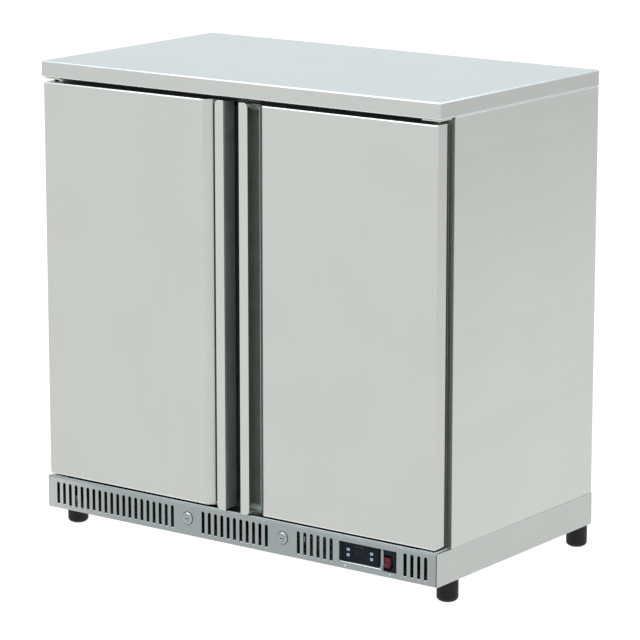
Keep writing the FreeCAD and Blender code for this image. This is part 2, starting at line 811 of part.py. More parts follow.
def make_controller():
    """The thermostat: bezel and case in one moulding, window, four keys."""
    front = f"{FRONT} + bezel_front"
    case = body("controller_case")
    pad(case, "Y", front, f"{FRONT} + tray_depth", controller_outline("0"))
    pad(case, "Y", f"{FRONT} + tray_depth", f"{FRONT} + case_depth",
        controller_outline("-case_step"))
    holes = [key_outline(x, z, "key_gap") for name, x, z in key_places()]
    pocket(case, "Y", f"{front} - 1", f"{front} + 3.2", *holes)
    pocket(case, "Y", f"{front} - 1", f"{front} + 1.2", window_outline())
    keep(case)

    window = body("controller_window")
    pad(window, "Y", f"{front} + 0.2", f"{front} + 1.2", window_outline())
    keep(window)

    for name, x, z in key_places():
        key = body(name)
        pad(key, "Y", f"{front} - 0.8", f"{front} + 2", key_outline(x, z, "0"))
        keep(key)


def switch_body():
    return (("rocker_x - 8.8", "rocker_x + 18.8"),
            (f"{PLINTH_LOW} + rocker_z - 14", f"{PLINTH_LOW} + rocker_z + 14"))


def make_switch():
    """The power switch: a housing that fills its cut-out, and a rocker in a well."""
    bezel = body("switch_bezel")
    front = f"{FRONT} + bezel_front"
    face = rectangle(("switch_left + 0.4", "tray_right - 0.4"),
                     (f"{PLINTH_LOW} + tray_low + 0.5", f"{PLINTH_LOW} + tray_high - 0.5"))
    pad(bezel, "Y", front, f"{FRONT} + tray_depth", face)
    (left, right), (low, high) = switch_body()
    pad(bezel, "Y", f"{FRONT} + tray_depth", f"{FRONT} + switch_depth",
        rectangle((f"{left} + 0.2", f"{right} - 0.2"), (f"{low} + 0.2", f"{high} - 0.2")))
    well = rectangle(("rocker_x - rocker_width / 2 - 0.4", "rocker_x + rocker_width / 2 + 0.4"),
                     (f"{PLINTH_LOW} + rocker_z - well_half",
                      f"{PLINTH_LOW} + rocker_z + well_half"))
    pocket(bezel, "Y", f"{front} - 1", f"{FRONT} + well_depth", well)
    keep(bezel)

    rocker = body("power_rocker")
    middle = f"{PLINTH_LOW} + rocker_z"
    profile = [
        (f"{FRONT} - 1.5", f"{middle} - 9"),
        (f"{FRONT} + 2.5", f"{middle}"),
        (f"{FRONT} + 3", f"{middle} + 9.5"),
        (f"{FRONT} + 9", f"{middle} + 8"),
        (f"{FRONT} + 15", f"{middle} + 3"),
        (f"{FRONT} + 15", f"{middle} - 3"),
        (f"{FRONT} + 8", f"{middle} - 9"),
    ]
    pad(rocker, "X", "rocker_x - rocker_width / 2", "rocker_x + rocker_width / 2", profile)
    keep(rocker)


# ---------------------------------------------------------------- doors

def door_points(sign, points):
    """Outline corners given out from the centre line and back from the front plane."""
    return [(f"{sign} * ({across})", f"{FRONT} + {deep}") for across, deep in points]


def pivot_circle(sign, radius):
    return ("circle", f"{sign} * pivot_out", f"{FRONT} + pivot_back", radius)


# Where the inner face of the skin's slanted return meets the skin and where it ends.
SKIN_INNER = "skin_edge + 0.37"
RETURN_INNER = "return_depth + 0.46"


def make_door(name, sign):
    """Skin, foam, liner, seal, grip recess, lip strip and hinge bushes of one door."""
    low, high = DOOR_LOW, DOOR_HIGH
    inside_low, inside_high = f"{low} + steel", f"{high} - steel"

    skin = body(f"{name}_door_skin")
    pad(skin, "Z", low, high, door_points(sign, [
        ("door_outer", "0"),
        ("skin_edge", "0"),
        ("return_edge", "return_depth"),
        ("return_edge", RETURN_INNER),
        ("return_edge + 0.9", RETURN_INNER),
        ("return_edge + 0.9", "door_thick"),
        ("door_outer", "door_thick"),
    ]))
    pocket(skin, "Z", inside_low, inside_high, door_points(sign, [
        ("door_outer - steel", "steel"),
        (SKIN_INNER, "steel"),
        ("return_edge + steel", RETURN_INNER),
        ("return_edge - 1", RETURN_INNER),
        ("return_edge - 1", "door_thick + 1"),
        ("door_outer - steel", "door_thick + 1"),
    ]))
    pocket(skin, "Z", f"{low} - 1", inside_low, pivot_circle(sign, "bush_radius"),
           cam_way(sign, 2, 24))
    pocket(skin, "Z", inside_high, f"{high} + 1", pivot_circle(sign, "bush_radius"))
    keep(skin)

    foam = body(f"{name}_door_foam")
    pad(foam, "Z", inside_low, inside_high, door_points(sign, [
        ("door_outer - steel", "steel"),
        (SKIN_INNER, "steel"),
        ("return_edge + steel", RETURN_INNER),
        ("return_edge + steel", "door_thick"),
        ("door_outer - steel", "door_thick"),
    ]))
    pocket(foam, "Z", inside_low, f"{low} + bush_length", pivot_circle(sign, "bush_radius"))
    pocket(foam, "Z", f"{high} - bush_length", inside_high, pivot_circle(sign, "bush_radius"))
    pocket(foam, "Z", inside_low, f"{low} + 8", cam_way(sign, 2, 24))
    keep(foam)

    bushes = []
    for end, start, stop in (("low", low, f"{low} + bush_length"),
                             ("high", f"{high} - bush_length", high)):
        centre = (f"{sign} * pivot_out", f"{FRONT} + pivot_back")
        outer = rod(f"{name}_bush_{end}_outer", "z", centre, "bush_radius", start, stop)
        bore = rod(f"{name}_bush_{end}_bore", "z", centre, "pin_radius + pin_clearance",
                   f"{start} - 1", f"{stop} + 1")
        bushes.append(cut(f"{name}_bush_{end}", outer, [bore]))
    keep(group(f"{name}_door_bushes", bushes))

    liner_back = "door_thick + door_liner"
    keep(block(
        f"{name}_door_liner",
        out(sign, "door_inner + 4", "door_outer - 5"),
        (f"{FRONT} + door_thick", f"{FRONT} + {liner_back}"),
        (f"{low} + 4", f"{high} - 4")))

    seal = body(f"{name}_door_seal")
    start, stop = f"{FRONT} + {liner_back}", f"{FRONT} + {liner_back} + seal_depth"
    pad(seal, "Y", start, stop, rectangle(
        out(sign, "seal_inner", "seal_outer"), (f"{low} + seal_end", f"{high} - seal_end")))
    pocket(seal, "Y", f"{start} - 1", f"{stop} + 1", rectangle(
        out(sign, "seal_inner + seal_width", "seal_outer - seal_width"),
        (f"{low} + seal_end + seal_width", f"{high} - seal_end - seal_width")))
    keep(seal)


def make_grip(name, sign):
    """The black recess moulding along the door's inner edge, and the steel strip over it."""
    low, high = DOOR_LOW, DOOR_HIGH
    lip_back = "-(lip_proud - lip_thick)"
    channel = body(f"{name}_grip_channel")
    pad(channel, "Z", low, high, door_points(sign, [
        ("door_inner", lip_back),
        ("door_inner + lip_width", lip_back),
        ("door_inner + lip_width", "return_depth"),
        ("return_edge", "return_depth"),
        ("return_edge", RETURN_INNER),
        ("return_edge + 0.9", RETURN_INNER),
        ("return_edge + 0.9", "door_thick"),
        ("door_inner", "door_thick"),
    ]))
    pocket(channel, "Z", f"{low} + grip_end", f"{high} - grip_end", door_points(sign, [
        ("door_inner + grip_wall", "-4"),
        ("return_edge + 1", "-4"),
        ("return_edge + 1", RETURN_INNER),
        ("return_edge - 1", RETURN_INNER),
        ("return_edge - 1", "grip_depth"),
        ("door_inner + grip_wall", "grip_depth"),
    ]))
    keep(channel)

    lip = body(f"{name}_handle_lip")
    edges = out(sign, "door_inner", "door_inner + lip_width")
    pad(lip, "Y", f"{FRONT} - lip_proud", f"{FRONT} + {lip_back}", rectangle(
        edges, (f"{low} - lip_overrun", f"{high} + lip_overrun - 1")))
    free_edge = value("door_inner + lip_width")
    round_edges(lip, "lip_corner", lambda edge: (
        abs(abs(edge.CenterOfMass.x) - free_edge) < 0.01
        and edge.BoundBox.YLength > value("lip_thick") - 0.01
        and edge.BoundBox.ZLength < 0.01))
    keep(lip)


def make_hinges():
    """Brackets with fixed pins, above and below each door."""
    uppers = []
    lowers = []
    for name, sign in SIGNS.items():
        x = out(sign, "pivot_out - 22", "door_outer")
        centre = (f"{sign} * pivot_out", f"{FRONT} + pivot_back")
        top_z = (f"{CABINET_TOP} - 3.4", f"{CABINET_TOP} - 0.4")
        plate = block(f"hinge_top_plate_{name}", x, (f"{FRONT} + 5", f"{FRONT} + 90"), top_z)
        pin = rod(f"hinge_top_pin_{name}", "z", centre, "pin_radius",
                  f"{DOOR_HIGH} - bush_length + 2", top_z[0])
        uppers.append(fuse(f"hinge_top_{name}", [plate, pin]))

        low_z = (PLINTH_TOP, f"{PLINTH_TOP} + 3")
        plate = block(f"hinge_low_plate_{name}", x, (f"{FRONT} + 5", FACE), low_z)
        pin = rod(f"hinge_low_pin_{name}", "z", centre, "pin_radius",
                  low_z[1], f"{DOOR_LOW} + bush_length - 2")
        lowers.append(fuse(f"hinge_low_{name}", [plate, pin]))
    keep(group("hinge_brackets_top", uppers))
    keep(group("hinge_brackets_bottom", lowers))


# ---------------------------------------------------------------- refrigeration

def finned_block(label, x, y, z, pitch, count, gap):
    """A coil with upright fins, cut as slots from its front almost to its back."""
    coil = body(label)
    pad(coil, "Y", y[0], y[1], rectangle(x, z))
    slot = rectangle((f"{x[0]} + {gap}", f"{x[0]} + {pitch}"), (f"{z[0]} - 1", f"{z[1]} + 1"))
    first = pocket(coil, "Y", f"{y[0]} - 1", f"{y[1]} - 5", slot)
    repeat(coil, first, "X_Axis", str(pitch), count)
    return coil


def make_fan(label, centre, radius, hub_radius, low, high, shaft_end, blade_count):
    """Hub, shaft and pitched blades, turning about an axis along y."""
    middle_y = (value(low) + value(high)) / 2
    reach = value(radius)
    hub_size = value(hub_radius)
    blade_width = (value(high) - value(low)) * 1.25
    blade_thick = 1.6
    pitch_angle = 32
    axis_x, axis_z = value(centre[0]), value(centre[1])
    forward = FreeCAD.Vector(0, 1, 0)
    shape = Part.makeCylinder(
        hub_size, value(high) - value(low), FreeCAD.Vector(0, value(low), 0), forward)
    shaft = Part.makeCylinder(
        value("fan_shaft_radius"), value(shaft_end) - value(high),
        FreeCAD.Vector(0, value(high), 0), forward)
    shape = shape.fuse(shaft)
    for number in range(blade_count):
        blade = Part.makeBox(
            reach - hub_size + 3, blade_thick, blade_width,
            FreeCAD.Vector(hub_size - 3, -blade_thick / 2, -blade_width / 2))
        blade.rotate(FreeCAD.Vector(), FreeCAD.Vector(1, 0, 0), pitch_angle)
        blade.translate(FreeCAD.Vector(0, middle_y, 0))
        blade.rotate(FreeCAD.Vector(), forward, 360 / blade_count * number)
        shape = shape.fuse(blade)
    fan = doc.addObject("Part::Feature", label)
    fan.Shape = shape.removeSplitter()
    fan.Placement = FreeCAD.Placement(FreeCAD.Vector(axis_x, 0, axis_z), FreeCAD.Rotation())
    keep(fan)


CONDENSER_MIDDLE = ("condenser_left + condenser_width / 2", "foot_height + 8 + condenser_height / 2")
EVAPORATOR_FAN = ("evaporator_fan_x", f"{PLINTH_TOP} + evaporator_fan_z")


def make_condensing_unit():
    """Condenser with its shroud, fan and motor, and the compressor on rubber mounts."""
    x = ("condenser_left", "condenser_left + condenser_width")
    z = ("foot_height + 8", "foot_height + 8 + condenser_height")
    coil_back = "condenser_front + condenser_depth"
    coil = finned_block("condenser_coil", x, ("condenser_front", coil_back), z, 14, 20, 2)
    plate = block("shroud_plate", x, (coil_back, f"{coil_back} + 2"), z)
    mouth = rod("shroud_mouth", "y", CONDENSER_MIDDLE, "condenser_fan_radius + fan_gap",
                f"{coil_back} - 1", f"{coil_back} + 4")
    keep(group("condenser", [coil, cut("condenser_shroud", plate, [mouth])]))

    make_fan("condenser_fan", CONDENSER_MIDDLE, "condenser_fan_radius",
             "condenser_hub_radius", f"{coil_back} + 12", f"{coil_back} + 32",
             f"{coil_back} + 60", 5)

    motor_front, motor_back = f"{coil_back} + 36", f"{coil_back} + 90"
    can = rod("condenser_motor_can", "y", CONDENSER_MIDDLE, "condenser_motor_radius",
              motor_front, motor_back)
    middle_x, middle_z = CONDENSER_MIDDLE
    strap = block("condenser_motor_strap", (f"{middle_x} - 112", f"{middle_x} + 112"),
                  (f"{motor_back} - 4", f"{motor_back} - 1"),
                  (f"{middle_z} - 6", f"{middle_z} + 6"))
    legs = []
    for name, sign in SIGNS.items():
        leg_x = f"{middle_x} + {sign} * 109"
        legs.append(block(f"condenser_motor_leg_{name}", (f"{leg_x} - 3", f"{leg_x} + 3"),
                          (f"{coil_back} + 2", f"{motor_back} - 1"),
                          (f"{middle_z} - 6", f"{middle_z} + 6")))
    hole = rod("condenser_motor_bore", "y", CONDENSER_MIDDLE, "fan_shaft_radius + pin_clearance",
               f"{motor_front} - 1", f"{motor_front} + 30")
    condenser_motor = cut("condenser_motor", fuse("condenser_motor_blank", [can, strap] + legs),
                          [hole])

    can = rod("evaporator_motor_can", "y", EVAPORATOR_FAN, "evaporator_motor_radius",
              "cover_front + 28", "cover_front + 56")
    foot = rod("evaporator_motor_foot", "y", EVAPORATOR_FAN, "9", "cover_front + 56",
               LINER_BACK)
    hole = rod("evaporator_motor_bore", "y", EVAPORATOR_FAN, "fan_shaft_radius + pin_clearance",
               "cover_front + 27", "cover_front + 45")
    evaporator_motor = cut("evaporator_motor", fuse("evaporator_motor_blank", [can, foot]), [hole])
    keep(group("fan_motors", [condenser_motor, evaporator_motor]))

    keep(group("compressor", make_compressor()))


def make_compressor():
    """A welded can on a bed plate with rubber grommets."""
    pan_top = "foot_height + 2 * steel"
    can = body("compressor_can")
    can_low = f"{pan_top} + compressor_mount"
    can_high = f"{pan_top} + compressor_height"
    profile = [
        ("0", can_low),
        ("compressor_radius - 12", can_low),
        ("compressor_radius", f"{can_low} + 14"),
        ("compressor_radius", f"{can_high} - 46"),
        ("compressor_radius - 14", f"{can_high} - 14"),
        ("compressor_radius / 3", can_high),
        ("0", can_high),
    ]
    turned = can.newObject("PartDesign::Revolution", "compressor_turned")
    turned.Profile = sketch_on(can, "Y", "0", [profile])
    turned.ReferenceAxis = (turned.Profile[0], ["V_Axis"])
    turned.Angle = 360
    can.setExpression("Placement.Base.x", formula("compressor_x"))
    can.setExpression("Placement.Base.y", formula("compressor_y"))
    plate = block("compressor_bed", ("compressor_x - 90", "compressor_x + 90"),
                  ("compressor_y - 60", "compressor_y + 60"),
                  (f"{pan_top} + compressor_mount - 4", can_low))
    pieces = [can, plate]
    for across in (-78, 78):
        for deep in (-48, 48):
            centre = (f"compressor_x + {across}", f"compressor_y + {deep}")
            pieces.append(rod("compressor_grommet", "z", centre, "boss_radius",
                              pan_top, f"{pan_top} + compressor_mount - 4"))
    return pieces


def tube(points, radius, bend):
    """A round pipe through points, with each corner turned on an arc."""
    edges = []
    start = points[0]
    for before, corner, after in zip(points, points[1:], points[2:]):
        back = (before - corner).normalize()
        ahead = (after - corner).normalize()
        half_turn = back.getAngle(ahead) / 2
        setback = bend / math.tan(half_turn)
        first = corner + back * setback
        last = corner + ahead * setback
        inward = (back + ahead).normalize()
        centre = corner + inward * (setback ** 2 + bend ** 2) ** 0.5
        middle = centre - inward * bend
        edges.append(Part.LineSegment(start, first).toShape())
        edges.append(Part.Arc(first, middle, last).toShape())
        start = last
    edges.append(Part.LineSegment(start, points[-1]).toShape())
    path = Part.Wire(edges)
    ring = Part.Wire(Part.makeCircle(radius, points[0], points[1] - points[0]))
    return path.makePipeShell([ring], True, False)


def make_pipes():
    """Discharge, liquid and suction pipes, with the filter drier."""
    can_edge, unit_y = value("compressor_x - compressor_radius"), value("compressor_y")
    base = value("foot_height")
    condenser_right = value("condenser_left + condenser_width")
    condenser_y = value("condenser_front + condenser_depth - 3")
    riser_y = value(f"{RISER} + 30")
    routes = [
        # discharge: compressor to the top of the condenser
        ([(can_edge, unit_y, base + 130), (40, unit_y, base + 130), (40, unit_y, base + 205),
          (40, condenser_y, base + 205), (condenser_right, condenser_y, base + 205)], 3, 12),
        # liquid: foot of the condenser to the drier
        ([(condenser_right, condenser_y, base + 30), (-30, condenser_y, base + 30),
          (-30, riser_y, base + 30), (-30, riser_y, base + 60)], 3, 5),
        # capillary: drier up to the deck
        ([(-30, riser_y, base + 160), (-30, riser_y, base + 190), (-30, 215, base + 190),
          (-30, 215, base + 245)], 1.5, 12),
        # suction: deck down to the compressor
        ([(0, 215, base + 245), (0, 215, base + 120), (120, 215, base + 120),
          (120, unit_y, base + 120), (can_edge, unit_y, base + 120)], 5, 14),
    ]
    shapes = []
    for points, radius, bend in routes:
        shapes.append(tube([FreeCAD.Vector(*point) for point in points], radius, bend))
    drier = Part.makeCylinder(9, 100, FreeCAD.Vector(-30, riser_y, base + 60))
    pipes = doc.addObject("Part::Feature", "refrigerant_pipes")
    pipes.Shape = Part.makeCompound(shapes + [drier])
    keep(pipes)


def make_evaporator():
    """Coil and fan behind a cover at the top of the cold space."""
    low = f"({PLINTH_TOP} + cover_low)"
    high = f"({PLINTH_TOP} + cover_low + cover_height)"
    coil = finned_block("evaporator", ("-175", "-175 + 210"), ("cover_front + 16", "cover_front + 60"),
                        (f"{low} + 20", f"{high} - 20"), 10, 21, 2)
    keep(coil)

    outer = block("cover_blank", ("-cover_half", "cover_half"), ("cover_front", LINER_BACK),
                  (low, high))
    hollow = block("cover_hollow", ("-cover_half + steel", "cover_half - steel"),
                   ("cover_front + steel", f"{LINER_BACK} + 1"),
                   (f"{low} + steel", f"{high} - steel"))
    mouth = rod("cover_mouth", "y", EVAPORATOR_FAN, "evaporator_fan_radius + fan_gap",
                "cover_front - 1", "cover_front + 3")
    intake = block("cover_intake", ("-160", "20"), ("cover_front + 12", "cover_front + 52"),
                   (f"{low} - 1", f"{low} + 3"))
    keep(cut("evaporator_cover", outer, [hollow, mouth, intake]))

    make_fan("evaporator_fan", EVAPORATOR_FAN, "evaporator_fan_radius",
             "evaporator_hub_radius", "cover_front + 8", "cover_front + 20", "cover_front + 42", 5)


# ---------------------------------------------------------------- inside fittings

def make_shelf(name, sign, height):
    """A wire-type shelf with long openings."""
    shelf = body(f"shelf_{name}_{height}")
    low = f"{PLINTH_TOP} + {height}"
    x = out(sign, "10", "402")
    pad(shelf, "Z", low, f"{low} + shelf_thick", rectangle(x, ("-shelf_front", "shelf_back")))
    opening = rectangle((f"{x[0]} + 17", f"{x[0]} + 39"), ("-shelf_front + 8", "shelf_back - 8"))
    first = pocket(shelf, "Z", f"{low} - 1", f"{low} + shelf_thick + 1", opening)
    repeat(shelf, first, "X_Axis", "28", 13)
    return shelf


def make_shelves():
    """Two shelves on each side, on clips in upright rails."""
    rail_high = f"{PLINTH_TOP} + 690"
    cover_clear = f"{PLINTH_TOP} + cover_low - 20"
    above_floor = f"{FLOOR} + 19"
    above_step = f"{STEP_TOP} + 17"
    post_back = f"{FACE} + steel + mullion_depth"
    shelves = []
    rails = []
    for name, sign in SIGNS.items():
        wall = out(sign, f"{LINER} - rail_thick", LINER)
        inner = out(sign, "14", "30")
        rails += [
            block(f"rail_{name}_front", wall, ("-159", "-141"), (above_floor, rail_high)),
            block(f"rail_{name}_back", wall, ("111", "129"), (above_step, rail_high)),
            block(f"rail_{name}_post", inner, (post_back, f"{post_back} + rail_thick"),
                  (above_floor, rail_high)),
            block(f"rail_{name}_rear", inner, (f"{LINER_BACK} - rail_thick", LINER_BACK),
                  (above_step, cover_clear)),
        ]
        for height in ("shelf_low", "shelf_high"):
            shelves.append(make_shelf(name, sign, height))
            level = (f"{PLINTH_TOP} + {height} - clip_height", f"{PLINTH_TOP} + {height}")
            at_wall = out(sign, f"{LINER} - clip_reach", f"{LINER} - rail_thick")
            at_post = out(sign, "17", "27")
            rails += [
                block("clip_front", at_wall, ("-155", "-145"), level),
                block("clip_back", at_wall, ("115", "125"), level),
                block("clip_post", at_post, (f"{post_back} + rail_thick", f"{post_back} + clip_reach"), level),
                block("clip_rear", at_post, (f"{LINER_BACK} - clip_reach", f"{LINER_BACK} - rail_thick"), level),
            ]
    keep(group("shelf_rails", rails))
    keep(group("shelves", shelves))


def make_lamp():
    """A lamp bar under the ceiling, just behind the mullion."""
    bar = block("lamp_bar", ("-lamp_half", "lamp_half"), ("-lamp_front", "-lamp_back"),
                (f"{CEILING} - lamp_height", CEILING))
    lens = block("lamp_lens", ("-lamp_half + lens_edge", "lamp_half - lens_edge"),
                 ("-lamp_front + 3", "-lamp_back - 3"),
                 (f"{CEILING} - lamp_height - lens_height", f"{CEILING} - lamp_height"))
    keep(group("interior_lamp", [bar, lens]))


# ---------------------------------------------------------------- build and write

make_worktop()
make_shell()
make_insulation()
make_liner()
make_front_frame()
for side_name, side_sign in SIGNS.items():
    make_side_panel(f"side_panel_{side_name}", side_sign)
    make_plinth_side(f"plinth_side_{side_name}", side_sign)
    make_door(side_name, side_sign)
    make_grip(side_name, side_sign)
make_grille_panel()
make_base_pan()
for foot_name, foot_x, foot_y in foot_places():
    make_foot(foot_name, foot_x, foot_y)
make_rear()
make_locks()
make_control_tray()
make_controller()
make_switch()
make_hinges()
make_condensing_unit()
make_pipes()
make_evaporator()
make_shelves()
make_lamp()

doc.recompute()

for item in doc.Objects:
    for problem in ("Invalid", "Error"):
        if problem in item.State:
            raise SystemExit(f"{item.Label}: {item.State}")

os.makedirs("parts", exist_ok=True)
for label, piece in nodes.items():
    if piece.Shape.isNull() or not piece.Shape.isValid():
        raise SystemExit(f"{label}: its shape is missing or not valid")
for label, piece in nodes.items():
    piece.Shape.exportStep(f"parts/{label}.step")
print(len(nodes), "nodes")
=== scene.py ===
import json
import math

import bmesh
import bpy
from mathutils import Matrix, Vector

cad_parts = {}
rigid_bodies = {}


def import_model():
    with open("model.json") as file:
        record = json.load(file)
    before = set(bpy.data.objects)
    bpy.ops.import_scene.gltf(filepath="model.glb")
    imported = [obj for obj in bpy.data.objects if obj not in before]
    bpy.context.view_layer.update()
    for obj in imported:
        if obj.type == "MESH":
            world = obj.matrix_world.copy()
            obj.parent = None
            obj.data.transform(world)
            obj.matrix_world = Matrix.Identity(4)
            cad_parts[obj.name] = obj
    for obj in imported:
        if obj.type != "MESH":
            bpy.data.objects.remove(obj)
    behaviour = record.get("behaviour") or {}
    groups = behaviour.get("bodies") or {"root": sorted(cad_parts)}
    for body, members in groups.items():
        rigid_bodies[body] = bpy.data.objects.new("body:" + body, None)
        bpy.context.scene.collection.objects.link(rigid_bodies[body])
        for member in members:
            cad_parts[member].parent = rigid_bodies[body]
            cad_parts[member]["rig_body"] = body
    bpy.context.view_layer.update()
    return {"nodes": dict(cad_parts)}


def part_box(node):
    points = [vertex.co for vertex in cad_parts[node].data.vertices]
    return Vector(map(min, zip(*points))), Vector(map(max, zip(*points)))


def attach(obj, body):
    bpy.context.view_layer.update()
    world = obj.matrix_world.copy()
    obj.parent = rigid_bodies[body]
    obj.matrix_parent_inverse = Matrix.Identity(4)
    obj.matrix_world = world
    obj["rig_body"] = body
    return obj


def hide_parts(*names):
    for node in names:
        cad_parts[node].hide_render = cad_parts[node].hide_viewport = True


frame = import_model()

# Looks of a two-door under counter fridge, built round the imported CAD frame.
# Lengths are in metres; MM turns millimetres into them. +X is right, -Y front, +Z up.

MM = 0.001
NODES = frame["nodes"]
SIGNS = {"left": -1, "right": 1}
DOOR_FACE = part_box("left_door_skin")[0].y
PLINTH_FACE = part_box("grille_panel")[0].y
GRIP_END = 5 * MM

# ---------------------------------------------------------------- materials


def map_range(tree, value, source, target, shape="SMOOTHSTEP"):
    """A value brought from one range to another."""
    node = tree.nodes.new("ShaderNodeMapRange")
    node.interpolation_type = shape
    node.inputs["From Min"].default_value, node.inputs["From Max"].default_value = source
    node.inputs["To Min"].default_value, node.inputs["To Max"].default_value = target
    tree.links.new(value, node.inputs["Value"])
    return node.outputs["Result"]


class Look:
    """A material with one Principled shader, and short calls that add noise to its inputs."""

    def __init__(self, name, colour, rough, metal=0.0, **sockets):
        self.material = bpy.data.materials.new(name)
        self.material.use_nodes = True
        self.tree = self.material.node_tree
        self.shader = self.tree.nodes["Principled BSDF"]
        self.colour = colour
        self.shader.inputs["Base Color"].default_value = (*colour, 1)
        self.shader.inputs["Roughness"].default_value = rough
        self.shader.inputs["Metallic"].default_value = metal
        for socket in self.shader.inputs:
            number = sockets.get(socket.name.lower().replace(" ", "_"))
            if number is not None:
                socket.default_value = number

    def add(self, kind, **settings):
        node = self.tree.nodes.new("ShaderNode" + kind)
        for name, setting in settings.items():
            setattr(node, name, setting)
        return node

    def place(self, stretch):
        """Object coordinates in metres, scaled along each axis."""
        coordinates = self.add("TexCoord")
        mapping = self.add("Mapping")
        mapping.inputs["Scale"].default_value = stretch
        self.tree.links.new(coordinates.outputs["Object"], mapping.inputs["Vector"])
        return mapping.outputs["Vector"]

    def noise(self, stretch, detail=3.0):
        texture = self.add("TexNoise")
        texture.inputs["Scale"].default_value = 1
        texture.inputs["Detail"].default_value = detail
        self.tree.links.new(self.place(stretch), texture.inputs["Vector"])
        return texture.outputs["Fac"]

    def cells(self, size):
        texture = self.add("TexVoronoi")
        texture.inputs["Scale"].default_value = 1 / size
        self.tree.links.new(self.place((1, 1, 1)), texture.inputs["Vector"])
        return texture

    def axis(self, name):
        """The distance from the origin along one axis, in metres."""
        parts = self.add("SeparateXYZ")
        self.tree.links.new(self.place((1, 1, 1)), parts.inputs["Vector"])
        return parts.outputs[name]

    def span(self, value, low, high):
        """A 0.3 to 0.7 value brought to the range low to high."""
        return map_range(self.tree, value, (0.3, 0.7), (low, high), "LINEAR")

    def ramp(self, value, start, stop):
        """A soft 0.3 to 0.7 ramp, while a value goes from start to stop."""
        return map_range(self.tree, value, (start, stop), (0.3, 0.7))

    def vary_rough(self, value, low, high):
        self.tree.links.new(self.span(value, low, high), self.shader.inputs["Roughness"])
        return self

    def vary_colour(self, value, other):
        """Blend from the base colour to another one."""
        mix = self.add("Mix", data_type="RGBA")
        mix.inputs["A"].default_value = (*self.colour, 1)
        mix.inputs["B"].default_value = (*other, 1)
        self.tree.links.new(self.span(value, 0, 1), mix.inputs["Factor"])
        self.tree.links.new(mix.outputs["Result"], self.shader.inputs["Base Color"])
        return self

    def emboss(self, value, depth, strength=1.0):
        """Bump; a second call goes on top of the first."""
        bump = self.add("Bump")
        bump.inputs["Strength"].default_value = strength
        bump.inputs["Distance"].default_value = depth
        self.tree.links.new(value, bump.inputs["Height"])
        normal = self.shader.inputs["Normal"]
        if normal.is_linked:
            self.tree.links.new(normal.links[0].from_socket, bump.inputs["Normal"])
        self.tree.links.new(bump.outputs["Normal"], normal)
        return self


ALONG = {
    "x": (3, 900, 900),
    "y": (900, 3, 900),
    "z": (900, 900, 3),
}


def brushed_steel(name, grain, colour=(0.585, 0.605, 0.58), rough=0.34):
    """Satin stainless, with hairlines along one axis, broad faint bands and handling marks."""
    look = Look(name, colour, rough, metal=1.0)
    hairlines = look.noise(ALONG[grain], detail=4)
    bands = look.noise([number ** 0.62 for number in ALONG[grain]], detail=2)
    marks = look.noise((5, 5, 5), detail=5)
    look.vary_colour(marks, [channel * 1.03 for channel in colour])
    look.vary_rough(bands, rough - 0.03, rough + 0.03)
    look.emboss(hairlines, 0.02 * MM, 0.2)
    return look.material


def plinth_steel_painted_reflection():
    """The plinth's steel with a painted reflection: darkened for the shaded floor in front that it
    mirrors, and a little brighter toward its left end.
    """
    look = Look("stainless_plinth", (0.30, 0.335, 0.33), 0.36, metal=1.0)
    # Painted reflection: the colour lightens toward the plinth's left end.
    look.vary_colour(look.ramp(look.axis("X"), -0.25, -0.5), (0.48, 0.50, 0.49))
    look.vary_rough(look.noise([number ** 0.62 for number in ALONG["x"]]), 0.33, 0.39)
    look.emboss(look.noise(ALONG["x"], detail=4), 0.02 * MM, 0.2)
    return look.material


def moulded(name, colour, rough, grain=0.5 * MM, depth=0.03 * MM, **sockets):
    """Plastic with a fine moulded texture and slightly uneven colour and shine."""
    look = Look(name, colour, rough, **sockets)
    texture = look.noise([1 / grain] * 3, detail=2)
    broad = look.noise((30, 30, 30), detail=4)
    uneven = 1.25 if max(colour) < 0.3 else 1.04
    look.vary_colour(broad, [min(1, channel * uneven + 0.004) for channel in colour])
    look.vary_rough(broad, rough - 0.06, rough + 0.08)
    look.emboss(texture, depth, 0.5)
    return look.material


def scuffed_plastic(node):
    """The grip's plastic with painted light: paler toward the two ends of the recess, where light
    reaches in.
    """
    low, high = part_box(node)
    look = Look("scuffed_plastic", (0.100, 0.113, 0.101), 0.34)
    level = look.add("Math", operation="SUBTRACT")
    level.inputs[1].default_value = (low.z + high.z) / 2
    look.tree.links.new(look.axis("Z"), level.inputs[0])
    away = look.add("Math", operation="ABSOLUTE")
    look.tree.links.new(level.outputs["Value"], away.inputs[0])
    end = (high.z - low.z) / 2 - GRIP_END
    # Painted light: the plastic turns paler within 12 mm of each end of the recess.
    lit_end = look.ramp(away.outputs["Value"], end - 12 * MM, end - 1 * MM)
    look.vary_colour(lit_end, (0.40, 0.43, 0.40))
    look.vary_rough(look.noise((90, 90, 90)), 0.28, 0.42)
    look.emboss(look.noise((900, 900, 900), detail=2), 0.03 * MM, 0.5)
    return look.material


def galvanised():
    look = Look("galvanised_sheet", (0.5, 0.52, 0.53), 0.42, metal=1.0)
    spangle = look.cells(9 * MM)
    flake = look.add("SeparateColor")
    look.tree.links.new(spangle.outputs["Color"], flake.inputs["Color"])
    look.vary_colour(flake.outputs["Red"], (0.55, 0.57, 0.59))
    look.vary_rough(flake.outputs["Green"], 0.38, 0.48)
    look.emboss(look.noise((400, 400, 400)), 0.02 * MM, 0.4)
    return look.material


def stucco_aluminium():
    look = Look("stucco_aluminium", (0.74, 0.75, 0.76), 0.42, metal=1.0)
    look.emboss(look.noise((130, 130, 130), detail=1), 0.6 * MM, 0.25)
    look.vary_rough(look.noise((60, 60, 60)), 0.38, 0.48)
    look.vary_colour(look.noise((4, 4, 4)), (0.68, 0.69, 0.71))
    return look.material


